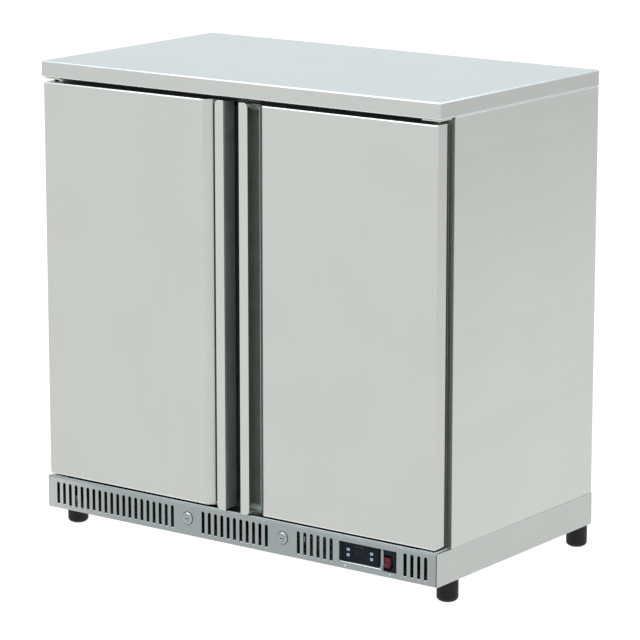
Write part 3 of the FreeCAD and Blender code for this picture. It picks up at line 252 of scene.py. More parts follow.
def rigid_foam():
    look = Look("rigid_foam", (0.86, 0.78, 0.55), 0.9)
    bubbles = look.cells(2.2 * MM)
    look.emboss(bubbles.outputs["Distance"], 0.6 * MM, 0.8)
    look.vary_colour(look.noise((25, 25, 25), detail=5), (0.74, 0.62, 0.36))
    return look.material


def polished(name, colour, rough):
    """Plated or drawn metal with faint wipe marks."""
    look = Look(name, colour, rough, metal=1.0)
    wipes = look.noise((90, 90, 25), detail=4)
    look.vary_rough(wipes, rough * 0.6, rough * 1.7)
    look.vary_colour(look.noise((15, 15, 15)), [channel * 0.93 for channel in colour])
    return look.material


def dark_glass():
    look = Look("display_window", (0.002, 0.003, 0.005), 0.08, specular_ior_level=0.12)
    look.vary_rough(look.noise((120, 120, 120), detail=5), 0.05, 0.13)
    look.vary_colour(look.noise((50, 50, 50)), (0.004, 0.006, 0.010))
    return look.material


def glowing(name, colour, strength):
    look = Look(name, colour, 0.35, emission_strength=strength)
    look.shader.inputs["Emission Color"].default_value = (*colour, 1)
    look.vary_rough(look.noise((400, 400, 400)), 0.3, 0.45)
    look.vary_colour(look.noise((900, 900, 900)), [channel * 0.85 for channel in colour])
    return look.material


TOP_STEEL = brushed_steel("stainless_worktop", "x", (0.492, 0.50, 0.476), 0.36)
FRONT_STEEL = brushed_steel("stainless_upright", "z", (0.505, 0.513, 0.487))
DOOR_STEEL = brushed_steel("stainless_door", "z", (0.505, 0.513, 0.487))
SIDE_STEEL = brushed_steel("stainless_side", "y", (0.518, 0.538, 0.508))
SKIRT_STEEL = brushed_steel("stainless_skirt", "y", (0.449, 0.465, 0.442))
# The plinth's steel carries painted shade and a painted reflection in its colour.
PLINTH_STEEL_PAINTED_SHADE = plinth_steel_painted_reflection()
LIP_STEEL = brushed_steel("stainless_lip", "z", (0.515, 0.53, 0.49), 0.3)
# Lighter, glossier steels for rounded edges, which paint the highlight lines along them.
HIGHLIGHT_STEEL = polished("burnished_edge", (0.66, 0.68, 0.67), 0.24)
BRIGHT_HIGHLIGHT = polished("bright_edge", (0.80, 0.81, 0.80), 0.2)
DULL_EDGE = polished("plinth_edge", (0.32, 0.35, 0.34), 0.3)
BEAD_STEEL = polished("bead_steel", (0.42, 0.45, 0.43), 0.25)
# The plinth cap's steel, darkened to match the plinth's painted shade.
CAP_STEEL = polished("cap_steel", (0.345, 0.37, 0.362), 0.3)
GALVANISED = galvanised()
STUCCO = stucco_aluminium()
FOAM = rigid_foam()
BLACK_PLASTIC = moulded("black_plastic", (0.100, 0.113, 0.101), 0.42, specular_ior_level=0.35)
GRIP_PLASTIC_LIT_ENDS = scuffed_plastic("left_grip_channel")
WORN_PLASTIC = moulded("black_plastic_edge", (0.13, 0.14, 0.13), 0.34, specular_ior_level=0.5)
FOOT_PLASTIC = moulded("foot_plastic", (0.010, 0.008, 0.007), 0.42, specular_ior_level=0.2)
HOUSING_PLASTIC = moulded("housing_plastic", (0.002, 0.004, 0.008), 0.35, grain=0.3 * MM,
                          specular_ior_level=0.1)
RUBBER = moulded("seal_rubber", (0.030, 0.033, 0.031), 0.7, grain=0.8 * MM, specular_ior_level=0.2)
WHITE_PLASTIC = moulded("white_plastic", (0.62, 0.63, 0.62), 0.4)
LINER_PLASTIC = moulded("liner_plastic", (0.50, 0.51, 0.50), 0.4)
BUSH_PLASTIC = moulded("bush_plastic", (0.55, 0.54, 0.50), 0.35)
KEY_PLASTIC = moulded("key_plastic", (0.004, 0.007, 0.016), 0.45, grain=0.3 * MM,
                      specular_ior_level=0.1)
ENAMEL = moulded("black_enamel", (0.018, 0.018, 0.019), 0.28, grain=2 * MM, coat_weight=0.3)
CHROME = polished("chrome", (0.52, 0.53, 0.53), 0.12)
LOCK_NICKEL = polished("lock_nickel", (0.37, 0.39, 0.39), 0.14)
ZINC_WIRE = polished("plated_wire", (0.55, 0.56, 0.57), 0.2)
COPPER = polished("copper", (0.66, 0.35, 0.22), 0.28)
RED_PLASTIC = moulded("red_plastic", (0.055, 0.004, 0.009), 0.35, grain=3 * MM,
                      specular_ior_level=0.15)
WINDOW = dark_glass()
SYMBOL_PRINT = glowing("symbol_print", (0.42, 0.58, 0.66), 0.25)
AMBER_DOT = glowing("amber_dot", (0.22, 0.13, 0.05), 0.2)
UNLIT_SEGMENT = moulded("unlit_segment", (0.012, 0.014, 0.02), 0.4, specular_ior_level=0.1)
WHITE_PRINT = moulded("white_print", (0.15, 0.09, 0.09), 0.5)
LENS = moulded("lamp_lens", (0.66, 0.68, 0.68), 0.3, transmission_weight=0.35, grain=2 * MM)

# What a material becomes on rounded edges: steel gets a lighter, glossier metal that paints the
# highlight lines along its edges; black plastic gets edges worn paler by hands.
EDGE_LOOKS = {
    "stainless_worktop": HIGHLIGHT_STEEL,
    "stainless_upright": HIGHLIGHT_STEEL,
    "stainless_door": BRIGHT_HIGHLIGHT,
    "stainless_side": HIGHLIGHT_STEEL,
    "stainless_skirt": HIGHLIGHT_STEEL,
    "stainless_lip": HIGHLIGHT_STEEL,
    "stainless_plinth": DULL_EDGE,
    "black_plastic": WORN_PLASTIC,
}

# Their upright edges keep the look of the faces beside them, so only their level edges carry the
# painted highlight.
PLAIN_UPRIGHTS = (TOP_STEEL, FRONT_STEEL, DOOR_STEEL, SIDE_STEEL, SKIRT_STEEL, PLINTH_STEEL_PAINTED_SHADE)

# ---------------------------------------------------------------- mesh helpers

SMOOTH_BELOW = math.radians(50)
ROUND_ABOVE = math.radians(35)
FLAT_AREA = 0.0001
FLAT_BREADTH = 10.5 * MM


def body_of(node):
    return NODES[node]["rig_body"]


def piece(name, b, material, body, nodes=()):
    """Turn a bmesh into a named piece that rides on a body and stands for CAD nodes."""
    mesh = bpy.data.meshes.new(name)
    bmesh.ops.recalc_face_normals(b, faces=b.faces[:])
    smooth = [face.calc_area() < FLAT_AREA or breadth(face) < FLAT_BREADTH for face in b.faces]
    b.to_mesh(mesh)
    b.free()
    mesh.materials.append(material)
    mesh.materials.append(EDGE_LOOKS.get(material.name, material))
    # Upright bevel faces go back to the face's material, so only level edges carry the painted
    # highlight.
    if material in PLAIN_UPRIGHTS:
        for face in mesh.polygons:
            if abs(face.normal.z) < 0.15:
                face.material_index = 0
    mesh.set_sharp_from_angle(angle=SMOOTH_BELOW)
    mesh.polygons.foreach_set("use_smooth", smooth)
    made = bpy.data.objects.new(name, mesh)
    bpy.context.scene.collection.objects.link(made)
    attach(made, body)
    if nodes:
        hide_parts(*nodes)
    return made


def breadth(face):
    """About how wide a face is across its narrow way."""
    return 2 * face.calc_area() / max(face.calc_perimeter(), 1e-9)


def sharp_edges(b, wanted):
    """Edges that turn by more than a slight angle and pass a test."""
    found = []
    for edge in b.edges:
        if len(edge.link_faces) == 2 and edge.calc_face_angle(0) > ROUND_ABOVE and wanted(edge):
            found.append(edge)
    return found


def has_room(edge, chosen, radius):
    """Whether the edges that meet this one leave space for its rounding."""
    for vert in edge.verts:
        along = (edge.other_vert(vert).co - vert.co).normalized()
        for other in vert.link_edges:
            if other == edge:
                continue
            away = (other.other_vert(vert).co - vert.co).normalized()
            in_line = other in chosen and along.dot(away) < -0.7
            if not in_line and other.calc_length() < 2.2 * radius:
                return False
    return True


def round_off(b, edges, radius, segments, polished_edge=True, need_room=True):
    """Round edges off, and give the new faces the second material if asked: a painted highlight on
    steel, worn paler plastic on black plastic.
    """
    if need_room:
        chosen = set(edges)
        edges = [edge for edge in edges if has_room(edge, chosen, radius)]
    if not (edges and radius):
        return
    made = bmesh.ops.bevel(
        b, geom=edges, offset=radius, offset_type="OFFSET", segments=segments,
        profile=0.5, affect="EDGES", clamp_overlap=False)
    for face in made["faces"]:
        face.material_index = int(polished_edge)


def cad_copy(node):
    """A CAD node's mesh with its triangles joined back into whole faces."""
    b = bmesh.new()
    b.from_mesh(NODES[node].data)
    bmesh.ops.remove_doubles(b, verts=b.verts[:], dist=0.002 * MM)
    bmesh.ops.dissolve_limit(
        b, angle_limit=math.radians(0.5), verts=b.verts[:], edges=b.edges[:])
    return b


def rounded(node, fold=0.0, edge=0.0, cove=0.0, broad=4 * MM):
    """A CAD node's shape with rounded folds between broad faces, eased thin edges, and coves
    in its inner corners."""
    b = cad_copy(node)
    round_off(b, sharp_edges(b, lambda e: not e.is_convex and all(
        breadth(face) > 20 * MM for face in e.link_faces)), cove, 4, False, False)
    round_off(b, sharp_edges(b, lambda e: e.is_convex and all(
        breadth(face) > broad for face in e.link_faces)), fold, 3)
    round_off(b, sharp_edges(b, lambda e: e.is_convex), edge, 2)
    return b


def stand_in(node, material, slot, **sizes):
    """Replace one CAD node by its rounded shape."""
    return piece(node + "_finished", rounded(node, **sizes), material, body_of(node), [node])


def dress(node, material):
    """Leave a CAD node in place and give it a better material."""
    NODES[node].data.materials.clear()
    NODES[node].data.materials.append(material)


def add_block(b, low, high, ease=0.0, segments=2):
    """A box between two corners, with eased edges."""
    low, high = Vector(low), Vector(high)
    matrix = Matrix.Translation((low + high) / 2) @ Matrix.Diagonal((*(high - low), 1))
    made = bmesh.ops.create_cube(b, size=1, matrix=matrix)
    edges = list({edge for vert in made["verts"] for edge in vert.link_edges})
    round_off(b, edges, ease, segments)


def frame_for(direction):
    """Two directions square to a third one."""
    direction = Vector(direction).normalized()
    helper = Vector((0, 0, 1)) if abs(direction.z) < 0.9 else Vector((1, 0, 0))
    first = direction.cross(helper).normalized()
    return first, direction.cross(first).normalized()


def add_lathe(b, centre, axis, profile, steps=32):
    """Turn (radius, height) points about an axis through centre; ends on the axis close."""
    centre, axis = Vector(centre), Vector(axis).normalized()
    first, second = frame_for(axis)
    rings = []
    for radius, height in profile:
        base = centre + axis * height
        if radius < 1e-7:
            rings.append([b.verts.new(base)])
            continue
        ring = []
        for step in range(steps):
            angle = 2 * math.pi * step / steps
            offset = first * math.cos(angle) + second * math.sin(angle)
            ring.append(b.verts.new(base + offset * radius))
        rings.append(ring)
    skin(b, rings)


def skin(b, rings, closed=False):
    """Faces between each ring of points and the next, and back to the first if closed."""
    for lower, upper in zip(rings, rings[1:]):
        join_rings(b, lower, upper)
    if closed:
        join_rings(b, rings[-1], rings[0])


def join_rings(b, lower, upper):
    """Faces between two rings of points, either of which may be a single point."""
    count = max(len(lower), len(upper))
    for step in range(count):
        after = (step + 1) % count
        corners = [lower[step % len(lower)], lower[after % len(lower)],
                   upper[after % len(upper)], upper[step % len(upper)]]
        unique = list(dict.fromkeys(corners))
        if len(unique) > 2:
            b.faces.new(unique)


def rounded_path(points, bend, steps=5):
    """A polyline with its corners turned on arcs."""
    points = [Vector(point) for point in points]
    path = [points[0]]
    for before, corner, after in zip(points, points[1:], points[2:]):
        back, ahead = (before - corner).normalized(), (after - corner).normalized()
        half = back.angle(ahead) / 2
        reach = min(bend / math.tan(half), (before - corner).length * 0.49,
                    (after - corner).length * 0.49)
        start, stop = corner + back * reach, corner + ahead * reach
        for step in range(steps + 1):
            t = step / steps
            path.append(start * (1 - t) ** 2 + corner * 2 * t * (1 - t) + stop * t ** 2)
    path.append(points[-1])
    return path


def add_tube(b, path, radius, sides=10, closed=False):
    """A round bar along a path, with flat ends unless it is closed."""
    path = [Vector(point) for point in path]
    count = len(path)
    rings = []
    normal = None
    for index, point in enumerate(path):
        before = path[index - 1] if index or closed else point
        after = path[(index + 1) % count] if index < count - 1 or closed else point
        tangent = (after - before).normalized()
        if normal is None:
            normal = frame_for(tangent)[0]
        normal = (normal - tangent * normal.dot(tangent)).normalized()
        side = tangent.cross(normal)
        ring = []
        for step in range(sides):
            angle = 2 * math.pi * step / sides
            ring.append(b.verts.new(
                point + (normal * math.cos(angle) + side * math.sin(angle)) * radius))
        rings.append(ring)
    skin(b, rings, closed)
    if not closed:
        b.faces.new(rings[0])
        b.faces.new(rings[-1])


def add_frame_sweep(b, low, high, y, section, closed=True):
    """Carry a section round an upright rectangle with mitred corners.

    low and high are (x, z) corners; the section's points are (inset, forward along +Y)."""
    rings = []
    for inset, forward in section:
        corners = [(low[0] + inset, low[1] + inset), (high[0] - inset, low[1] + inset),
                   (high[0] - inset, high[1] - inset), (low[0] + inset, high[1] - inset)]
        rings.append([b.verts.new((x, y + forward, z)) for x, z in corners])
    skin(b, rings, closed)
    if not closed:
        b.faces.new(rings[-1])


def add_screw(b, centre, axis, radius=2.4 * MM):
    """A pan head with a cross recess, standing on centre."""
    centre, axis = Vector(centre), Vector(axis).normalized()
    first, second = frame_for(axis)
    rings, sectors = 9, 32
    height = radius * 0.54
    previous = None
    for ring in range(rings + 1):
        share = ring / rings
        row = []
        for sector in range(sectors if ring else 1):
            angle = 2 * math.pi * sector / sectors
            across = radius * share * math.cos(angle)
            along = radius * share * math.sin(angle)
            rise = height * (1 - share ** 4)
            arm = min(abs(across), abs(along)) < radius * 0.17
            if arm and share < 0.66:
                rise -= height * 0.6 * (1 - share)
            row.append(b.verts.new(centre + first * across + second * along + axis * rise))
        if previous:
            join_rings(b, previous, row)
        previous = row


def mirrored(sign, low, high):
    """An x range given outwards from the middle, on one side of it."""
    return (low, high) if sign > 0 else (-high, -low)


# ---------------------------------------------------------------- cabinet and plinth

def build_cabinet():
    stand_in("worktop", TOP_STEEL, "stainless", fold=2.4 * MM, edge=0.3 * MM)
    for side in SIGNS:
        stand_in(f"side_panel_{side}", SIDE_STEEL, "stainless", fold=1.4 * MM, edge=0.2 * MM)
        stand_in(f"plinth_side_{side}", SKIRT_STEEL, "stainless", fold=1.2 * MM, edge=0.2 * MM)
    stand_in("back_panel", GALVANISED, "galvanised_sheet", edge=0.2 * MM)
    stand_in("underside_panel", GALVANISED, "galvanised_sheet", fold=1 * MM, edge=0.2 * MM)
    stand_in("front_frame", FRONT_STEEL, "stainless", edge=0.2 * MM)
    stand_in("centre_mullion", FRONT_STEEL, "stainless", fold=1.5 * MM, edge=0.2 * MM)
    stand_in("inner_liner", STUCCO, "liner_aluminium", cove=14 * MM, edge=0.2 * MM)
    build_breaker_strip()
    # A thin tube of the bright highlight steel along each side panel's top edge paints the highlight
    # line under the worktop.
    low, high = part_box("side_panel_right")
    trim = bmesh.new()
    for sign in SIGNS.values():
        add_tube(trim, [(sign * high.x, low.y + 2 * MM, high.z - 0.4 * MM),
                        (sign * high.x, high.y - 2 * MM, high.z - 0.4 * MM)], 0.75 * MM, 8)
    piece("side_trim", trim, BRIGHT_HIGHLIGHT, "root")
    # A black rubber strip under the worktop's front paints the shade in the gap above the doors.
    low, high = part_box("worktop")
    underside = bmesh.new()
    add_block(underside, (low.x + 4 * MM, low.y + 3 * MM, low.z - 0.2 * MM),
              (high.x - 4 * MM, low.y + 48 * MM, low.z + 0.6 * MM), 0.2 * MM, 1)
    piece("worktop_front_seal", underside, RUBBER, "root")
    for node in ("insulation", "left_door_foam", "right_door_foam"):
        dress(node, FOAM)


def build_breaker_strip():
    """The black plastic strip round the cabinet's mouth, just outside the door seals."""
    strip = bmesh.new()
    low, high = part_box("front_frame")
    front, width, ease = low.y - 0.55 * MM, 13 * MM, 0.15 * MM
    add_frame_sweep(strip, (low.x + ease, low.z + ease), (high.x - ease, high.z - ease), front,
                    [(0, 0.5 * MM), (0, ease), (ease, 0), (width - ease, 0), (width, ease),
                     (width, 0.5 * MM)])
    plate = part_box("hinge_brackets_top")[0].x + 42 * MM
    add_block(strip, (plate, front, high.z - 0.2 * MM), (-plate, low.y, high.z + 3 * MM), ease, 1)
    piece("breaker_strip", strip, BLACK_PLASTIC, "root")


def build_plinth():
    stand_in("grille_panel", PLINTH_STEEL_PAINTED_SHADE, "stainless", fold=1.8 * MM, edge=0.3 * MM)
    low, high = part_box("grille_panel")
    cap = bmesh.new()
    add_block(cap, (low.x, low.y - 0.1 * MM, high.z - 1 * MM),
              (high.x, low.y + 4.4 * MM, high.z + 3.2 * MM), 1.9 * MM, 4)
    piece("plinth_cap", cap, CAP_STEEL, "root")
    seam = bmesh.new()
    add_block(seam, (high.x - 1.3 * MM, low.y - 0.2 * MM, low.z + 1 * MM),
              (high.x + 0.3 * MM, low.y + 0.5 * MM, high.z - 0.3 * MM))
    piece("plinth_seam", seam, RUBBER, "root")
    grille_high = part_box("rear_grille")[1]
    caps = bmesh.new()
    for side, sign in SIGNS.items():
        low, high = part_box(f"plinth_side_{side}")
        outer = max(abs(low.x), abs(high.x))
        x_low, x_high = mirrored(sign, grille_high.x + 0.3 * MM, outer - 0.4 * MM)
        add_block(caps, (x_low, high.y - 1.5 * MM, low.z + 0.5 * MM),
                  (x_high, high.y - 0.4 * MM, high.z - 0.5 * MM), 0.3 * MM, 1)
    piece("plinth_end_caps", caps, SKIRT_STEEL, "root")
    stand_in("base_pan", GALVANISED, "galvanised_sheet", edge=0.3 * MM)
    for end in ("front", "rear"):
        for side in SIGNS:
            build_foot(f"foot_{end}_{side}")


def build_foot(node):
    """A moulded levelling foot: fluted skirt, rounded bottom, plain collar and threaded stem."""
    low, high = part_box(node)
    centre_x, centre_y = (low.x + high.x) / 2, (low.y + high.y) / 2
    radius, round_bottom, collar, stem = 19.6 * MM, 9 * MM, 41.7 * MM, 5 * MM
    flutes, steps, groove = 24, 8, 1.3 * MM
    profile = []
    for step in range(9):
        angle = math.pi / 2 * step / 8
        profile.append((radius - 1.5 * round_bottom * (1 - math.sin(angle)),
                        round_bottom * (1 - math.cos(angle)), max(0, step - 3) / 5))
    profile += [(radius, 39 * MM, 1), (radius, 40 * MM, 0), (radius, collar - 0.6 * MM, 0),
                (radius - 0.6 * MM, collar, 0), (stem, collar, 0)]
    rise = collar
    while rise < high.z - 1.4 * MM:
        profile += [(stem, rise + 0.35 * MM, 0), (stem - 0.5 * MM, rise + 0.75 * MM, 0)]
        rise += 1.5 * MM
    profile += [(stem - 0.5 * MM, high.z, 0)]
    b = bmesh.new()
    count = flutes * steps
    rings = []
    for size, height, fluted in profile:
        ring = []
        for step in range(count):
            angle = 2 * math.pi * step / count
            cut = groove * fluted * max(0.0, math.cos(flutes * angle)) ** 0.6
            ring.append(b.verts.new((centre_x + (size - cut) * math.cos(angle),
                                     centre_y + (size - cut) * math.sin(angle), height)))
        rings.append(ring)
    skin(b, rings)
    b.faces.new(rings[0])
    b.faces.new(rings[-1])
    piece(node + "_moulding", b, FOOT_PLASTIC, body_of(node), [node])


def build_back():
    """Pressed louvre hoods, panel screws, wall spacers and the cable gland."""
    stand_in("rear_grille", GALVANISED, "galvanised_sheet", edge=0.2 * MM)
    stand_in("wall_spacers", RUBBER, "black_plastic", fold=1.5 * MM, edge=0.6 * MM)
    stand_in("mains_gland", BLACK_PLASTIC, "black_plastic", edge=0.5 * MM)
    low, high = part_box("rear_grille")
    hoods = bmesh.new()
    for centre in (-240 * MM, 200 * MM):
        for row in range(10):
            bottom = low.z + 64 * MM + row * 16 * MM
            add_hood(hoods, centre, 110 * MM, high.y, bottom)
    piece("louvre_hoods", hoods, GALVANISED, "root")

    panel_low, panel_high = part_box("back_panel")
    joint = bmesh.new()
    add_block(joint, (low.x, low.y - 0.3 * MM, high.z - 0.2 * MM),
              (high.x, high.y - 0.5 * MM, panel_low.z + 0.2 * MM))
    piece("back_joint", joint, GALVANISED, "root")
    screws = bmesh.new()
    inset = 8 * MM
    for step in range(5):
        x = (panel_low.x + inset) + (panel_high.x - panel_low.x - 2 * inset) * step / 4
        for z in (low.z + inset, high.z - inset, panel_low.z + inset, panel_high.z - inset):
            add_screw(screws, (x, panel_high.y, z), (0, 1, 0))
    for step in range(1, 4):
        z = panel_low.z + (panel_high.z - panel_low.z) * step / 4
        for x in (panel_low.x + inset, panel_high.x - inset):
            add_screw(screws, (x, panel_high.y, z), (0, 1, 0))
    piece("back_screws", screws, CHROME, "root")


def add_hood(b, centre, half, y, bottom):
    """A louvre pressed outwards: a curved hood over one slot, with closed ends."""
    proud, height, steps = 3.4 * MM, 7 * MM, 5
    rows = []
    for step in range(steps + 1):
        angle = math.pi / 2 * step / steps
        forward = proud * math.cos(angle)
        up = bottom + height * math.sin(angle)
        inset = 2.5 * MM * math.sin(angle)
        rows.append([b.verts.new((centre - half + inset, y + forward, up)),
                     b.verts.new((centre + half - inset, y + forward, up))])
    for lower, upper in zip(rows, rows[1:]):
        b.faces.new([lower[0], lower[1], upper[1], upper[0]])
    for side in (0, 1):
        foot = b.verts.new((centre + (2 * side - 1) * half, y, bottom))
        for lower, upper in zip(rows, rows[1:]):
            b.faces.new([foot, lower[side], upper[side]])


# ---------------------------------------------------------------- locks and controls

def build_locks():
    low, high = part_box("lock_housings")
    height, proud = (low.z + high.z) / 2, PLINTH_FACE - low.y
    middle = high.x - (high.z - low.z) / 2
    bezels = bmesh.new()
    for sign in SIGNS.values():
        add_lathe(bezels, (sign * middle, PLINTH_FACE, height), (0, -1, 0), [
            (7.2 * MM, -17 * MM), (7.2 * MM, -0.4 * MM), (11.6 * MM, -0.4 * MM),
            (11.6 * MM, 0.8 * MM), (11.1 * MM, 1.6 * MM), (9.6 * MM, 2.6 * MM),
            (7.8 * MM, proud - 0.2 * MM), (7.0 * MM, proud), (6.6 * MM, proud - 0.2 * MM),
            (6.1 * MM, proud - 1.2 * MM), (6.1 * MM, -17 * MM), (7.2 * MM, -17 * MM)], 48)
    piece("lock_bezels", bezels, LOCK_NICKEL, "root", ["lock_housings"])
    # A thin black ring behind each lock's bezel paints its contact shadow as a dark outline.
    shadow_rings = bmesh.new()
    for side, sign in SIGNS.items():
        add_lathe(shadow_rings, (sign * middle, PLINTH_FACE, height), (0, -1, 0), [
            (8 * MM, 0), (12.3 * MM, 0), (12.3 * MM, 0.3 * MM), (8 * MM, 0.3 * MM), (8 * MM, 0)], 48)
        stand_in(f"lock_{side}", LOCK_NICKEL, "chrome", edge=0.3 * MM)
        # A near-black bar on the lock's face paints the shade inside its key slot.
        keyway = bmesh.new()
        x = sign * middle
        add_bar(keyway, (x - 3.1 * MM, x + 3.1 * MM), (height - 0.9 * MM, height + 0.9 * MM),
                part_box(f"lock_{side}")[0].y)
        piece(f"lock_{side}_keyway", keyway, HOUSING_PLASTIC, body_of(f"lock_{side}"))
    piece("lock_washers", shadow_rings, RUBBER, "root")
    screws = bmesh.new()
    low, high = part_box("panel_screws")
    radius = (high.z - low.z) / 2
    for x in (low.x + radius, high.x - radius):
        add_screw(screws, (x, PLINTH_FACE, low.z + radius), (0, -1, 0), radius)
        add_lathe(screws, (x, PLINTH_FACE, low.z + radius), (0, 1, 0),
                  [(0, 0), (1.5 * MM, 0), (1.5 * MM, 6 * MM), (0, 6 * MM)], 12)
    piece("panel_screws_finished", screws, CHROME, "root", ["panel_screws"])


def build_controls():
    stand_in("control_tray", PLINTH_STEEL_PAINTED_SHADE, "stainless", fold=0.6 * MM, edge=0.3 * MM, cove=0)
    stand_in("controller_case", HOUSING_PLASTIC, "black_plastic", fold=1.2 * MM, edge=0.3 * MM)
    stand_in("controller_window", WINDOW, "display_window", edge=0.25 * MM)
    stand_in("switch_bezel", HOUSING_PLASTIC, "black_plastic", fold=0.9 * MM, edge=0.3 * MM)
    stand_in("power_rocker", RED_PLASTIC, "red_plastic", fold=0.9 * MM, edge=0.4 * MM)
    draw = {"key_upper_left": draw_ring, "key_lower_left": draw_down,
            "key_upper_right": draw_up, "key_lower_right": draw_power}
    for node, symbol in draw.items():
        stand_in(node, KEY_PLASTIC, "key_plastic", fold=0.5 * MM, edge=0.3 * MM)
        low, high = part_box(node)
        marks = bmesh.new()
        symbol(marks, Vector(((low.x + high.x) / 2, low.y, (low.z + high.z) / 2)))
        piece(node + "_symbol", marks, SYMBOL_PRINT, body_of(node))
    build_display()
    build_rocker_marks()
    low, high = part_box("controller_case")
    surround = bmesh.new()
    for x_low, x_high in ((low.x - 5.8 * MM, low.x + 0.6 * MM),
                          (high.x - 0.6 * MM, high.x + 2.2 * MM)):
        add_block(surround, (x_low, low.y - 0.8 * MM, low.z + 0.4 * MM),
                  (x_high, low.y + 3 * MM, high.z + 0.6 * MM), 0.5 * MM)
    piece("controller_surround", surround, HOUSING_PLASTIC, "root")
    # The tray's ledge is made of the lighter highlight steel, which paints its highlights.
    ledge = bmesh.new()
    add_block(ledge, (low.x - 5.6 * MM, PLINTH_FACE + 0.4 * MM, low.z - 3.3 * MM),
              (high.x + 8.9 * MM, low.y - 0.3 * MM, low.z - 0.5 * MM), 1.2 * MM, 3)
    piece("tray_ledge", ledge, HIGHLIGHT_STEEL, "root")


def add_print(b, points, y, raised=0.06 * MM):
    """A thin raised print with the given (x, z) outline, on a face at y that looks to -Y."""
    front = [b.verts.new((x, y - raised, z)) for x, z in points]
    back = [b.verts.new((x, y + raised, z)) for x, z in points]
    b.faces.new(front)
    b.faces.new(back)
    join_rings(b, front, back)


def add_bar(b, x, z, y, raised=0.06 * MM):
    """A printed rectangle between two x and two z values."""
    add_print(b, [(x[0], z[0]), (x[1], z[0]), (x[1], z[1]), (x[0], z[1])], y, raised)


def draw_arc(b, at, start, turn):
    """A small upright ring or part of one, as a raised print."""
    inner, outer, steps = 0.65 * MM, 1.15 * MM, 12
    for step in range(steps):
        first = start + turn * step / steps
        last = start + turn * (step + 1) / steps
        points = [(at.x + size * math.cos(angle), at.z + size * math.sin(angle))
                  for size, angle in ((inner, first), (outer, first), (outer, last), (inner, last))]
        add_print(b, points, at.y)


def draw_key_frame(b, at):
    """A rounded square round a key's symbol."""
    half_width, half_height, bend, line = 3.1 * MM, 2.3 * MM, 0.9 * MM, 0.75 * MM
    outer, inner = [], []
    for turn, (x, z) in enumerate(((1, 1), (-1, 1), (-1, -1), (1, -1))):
        for step in range(5):
            angle = math.pi / 2 * (turn + step / 4)
            cos, sin = math.cos(angle), math.sin(angle)
            base_x = at.x + x * (half_width - bend)
            base_z = at.z + z * (half_height - bend)
            outer.append((base_x + bend * cos, base_z + bend * sin))
            inner.append((base_x + (bend - line) * cos, base_z + (bend - line) * sin))
    for index in range(len(outer)):
        after = (index + 1) % len(outer)
        add_print(b, [outer[index], outer[after], inner[after], inner[index]], at.y)


def draw_triangle(b, at, reach):
    draw_key_frame(b, at)
    add_print(b, [(at.x - abs(reach), at.z - reach * 0.6), (at.x + abs(reach), at.z - reach * 0.6),
                  (at.x, at.z + reach * 0.9)], at.y)


def draw_up(b, at):
    draw_triangle(b, at, 1.3 * MM)


def draw_down(b, at):
    draw_triangle(b, at, -1.3 * MM)


def draw_ring(b, at):
    draw_key_frame(b, at)
    draw_arc(b, at, 0, 2 * math.pi)


def draw_power(b, at):
    draw_key_frame(b, at)
    draw_arc(b, at, math.radians(125), math.radians(290))
    add_bar(b, (at.x - 0.25 * MM, at.x + 0.25 * MM), (at.z, at.z + 1.3 * MM), at.y)


def build_display():
    """Unlit digits behind the window's face and three small indicator dots above it."""
    low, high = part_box("controller_window")
    digits = bmesh.new()
    half_width, half_height, bar = 2.1 * MM, 4.0 * MM, 0.75 * MM
    middle_z = (low.z + high.z) / 2
    for place in (-8, 0, 8):
        x = (low.x + high.x) / 2 + place * MM
        for z in (-half_height, 0, half_height):
            add_bar(digits, (x - half_width, x + half_width),
                    (middle_z + z - bar / 2, middle_z + z + bar / 2), low.y, 0.03 * MM)
        for side in (-1, 1):
            for up in (-1, 1):
                inner = middle_z + up * (bar / 2 + 0.2 * MM)
                outer = middle_z + up * (half_height - bar / 2 - 0.2 * MM)
                edge = x + side * half_width
                add_bar(digits, (edge, edge + side * bar), (inner, outer), low.y, 0.03 * MM)
    piece("display_digits", digits, UNLIT_SEGMENT, "root")

    dots = bmesh.new()
    case_low, case_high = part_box("controller_case")
    for place in (-6, 0, 6):
        add_lathe(dots, ((low.x + high.x) / 2 + place * MM, case_low.y, high.z + 3.4 * MM),
                  (0, -1, 0), [(0.75 * MM, -0.1 * MM), (0.7 * MM, 0.1 * MM), (0, 0.2 * MM)], 12)
    piece("indicator_dots", dots, AMBER_DOT, "root")


def build_rocker_marks():
    """A bar and a ring, moulded on the two ends of the rocker's face."""
    low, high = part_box("power_rocker")
    marks = bmesh.new()
    middle_x = (low.x + high.x) / 2
    rise = (low.z + high.z) / 2
    upper = Matrix.Rotation(math.radians(-3), 4, "X")
    lower = Matrix.Rotation(math.radians(-24), 4, "X")
    add_block(marks, (-0.4 * MM, -0.15 * MM, -2.4 * MM), (0.4 * MM, 0.15 * MM, 2.4 * MM))
    bmesh.ops.transform(marks, verts=marks.verts[:], matrix=Matrix.Translation(
        (middle_x, low.y + 4.15 * MM, rise + 4.6 * MM)) @ upper)
    ring = bmesh.new()
    path = [(1.7 * MM * math.cos(a * math.pi / 10), 0, 1.7 * MM * math.sin(a * math.pi / 10))
            for a in range(20)]
    add_tube(ring, path, 0.3 * MM, 6, closed=True)
    bmesh.ops.transform(ring, verts=ring.verts[:], matrix=Matrix.Translation(
        (middle_x, low.y + 1.95 * MM, rise - 4.9 * MM)) @ lower)
    joined = bpy.data.meshes.new("ring")
    ring.to_mesh(joined)
    ring.free()
    marks.from_mesh(joined)
    piece("rocker_marks", marks, WHITE_PRINT, "rocker")


# ---------------------------------------------------------------- doors

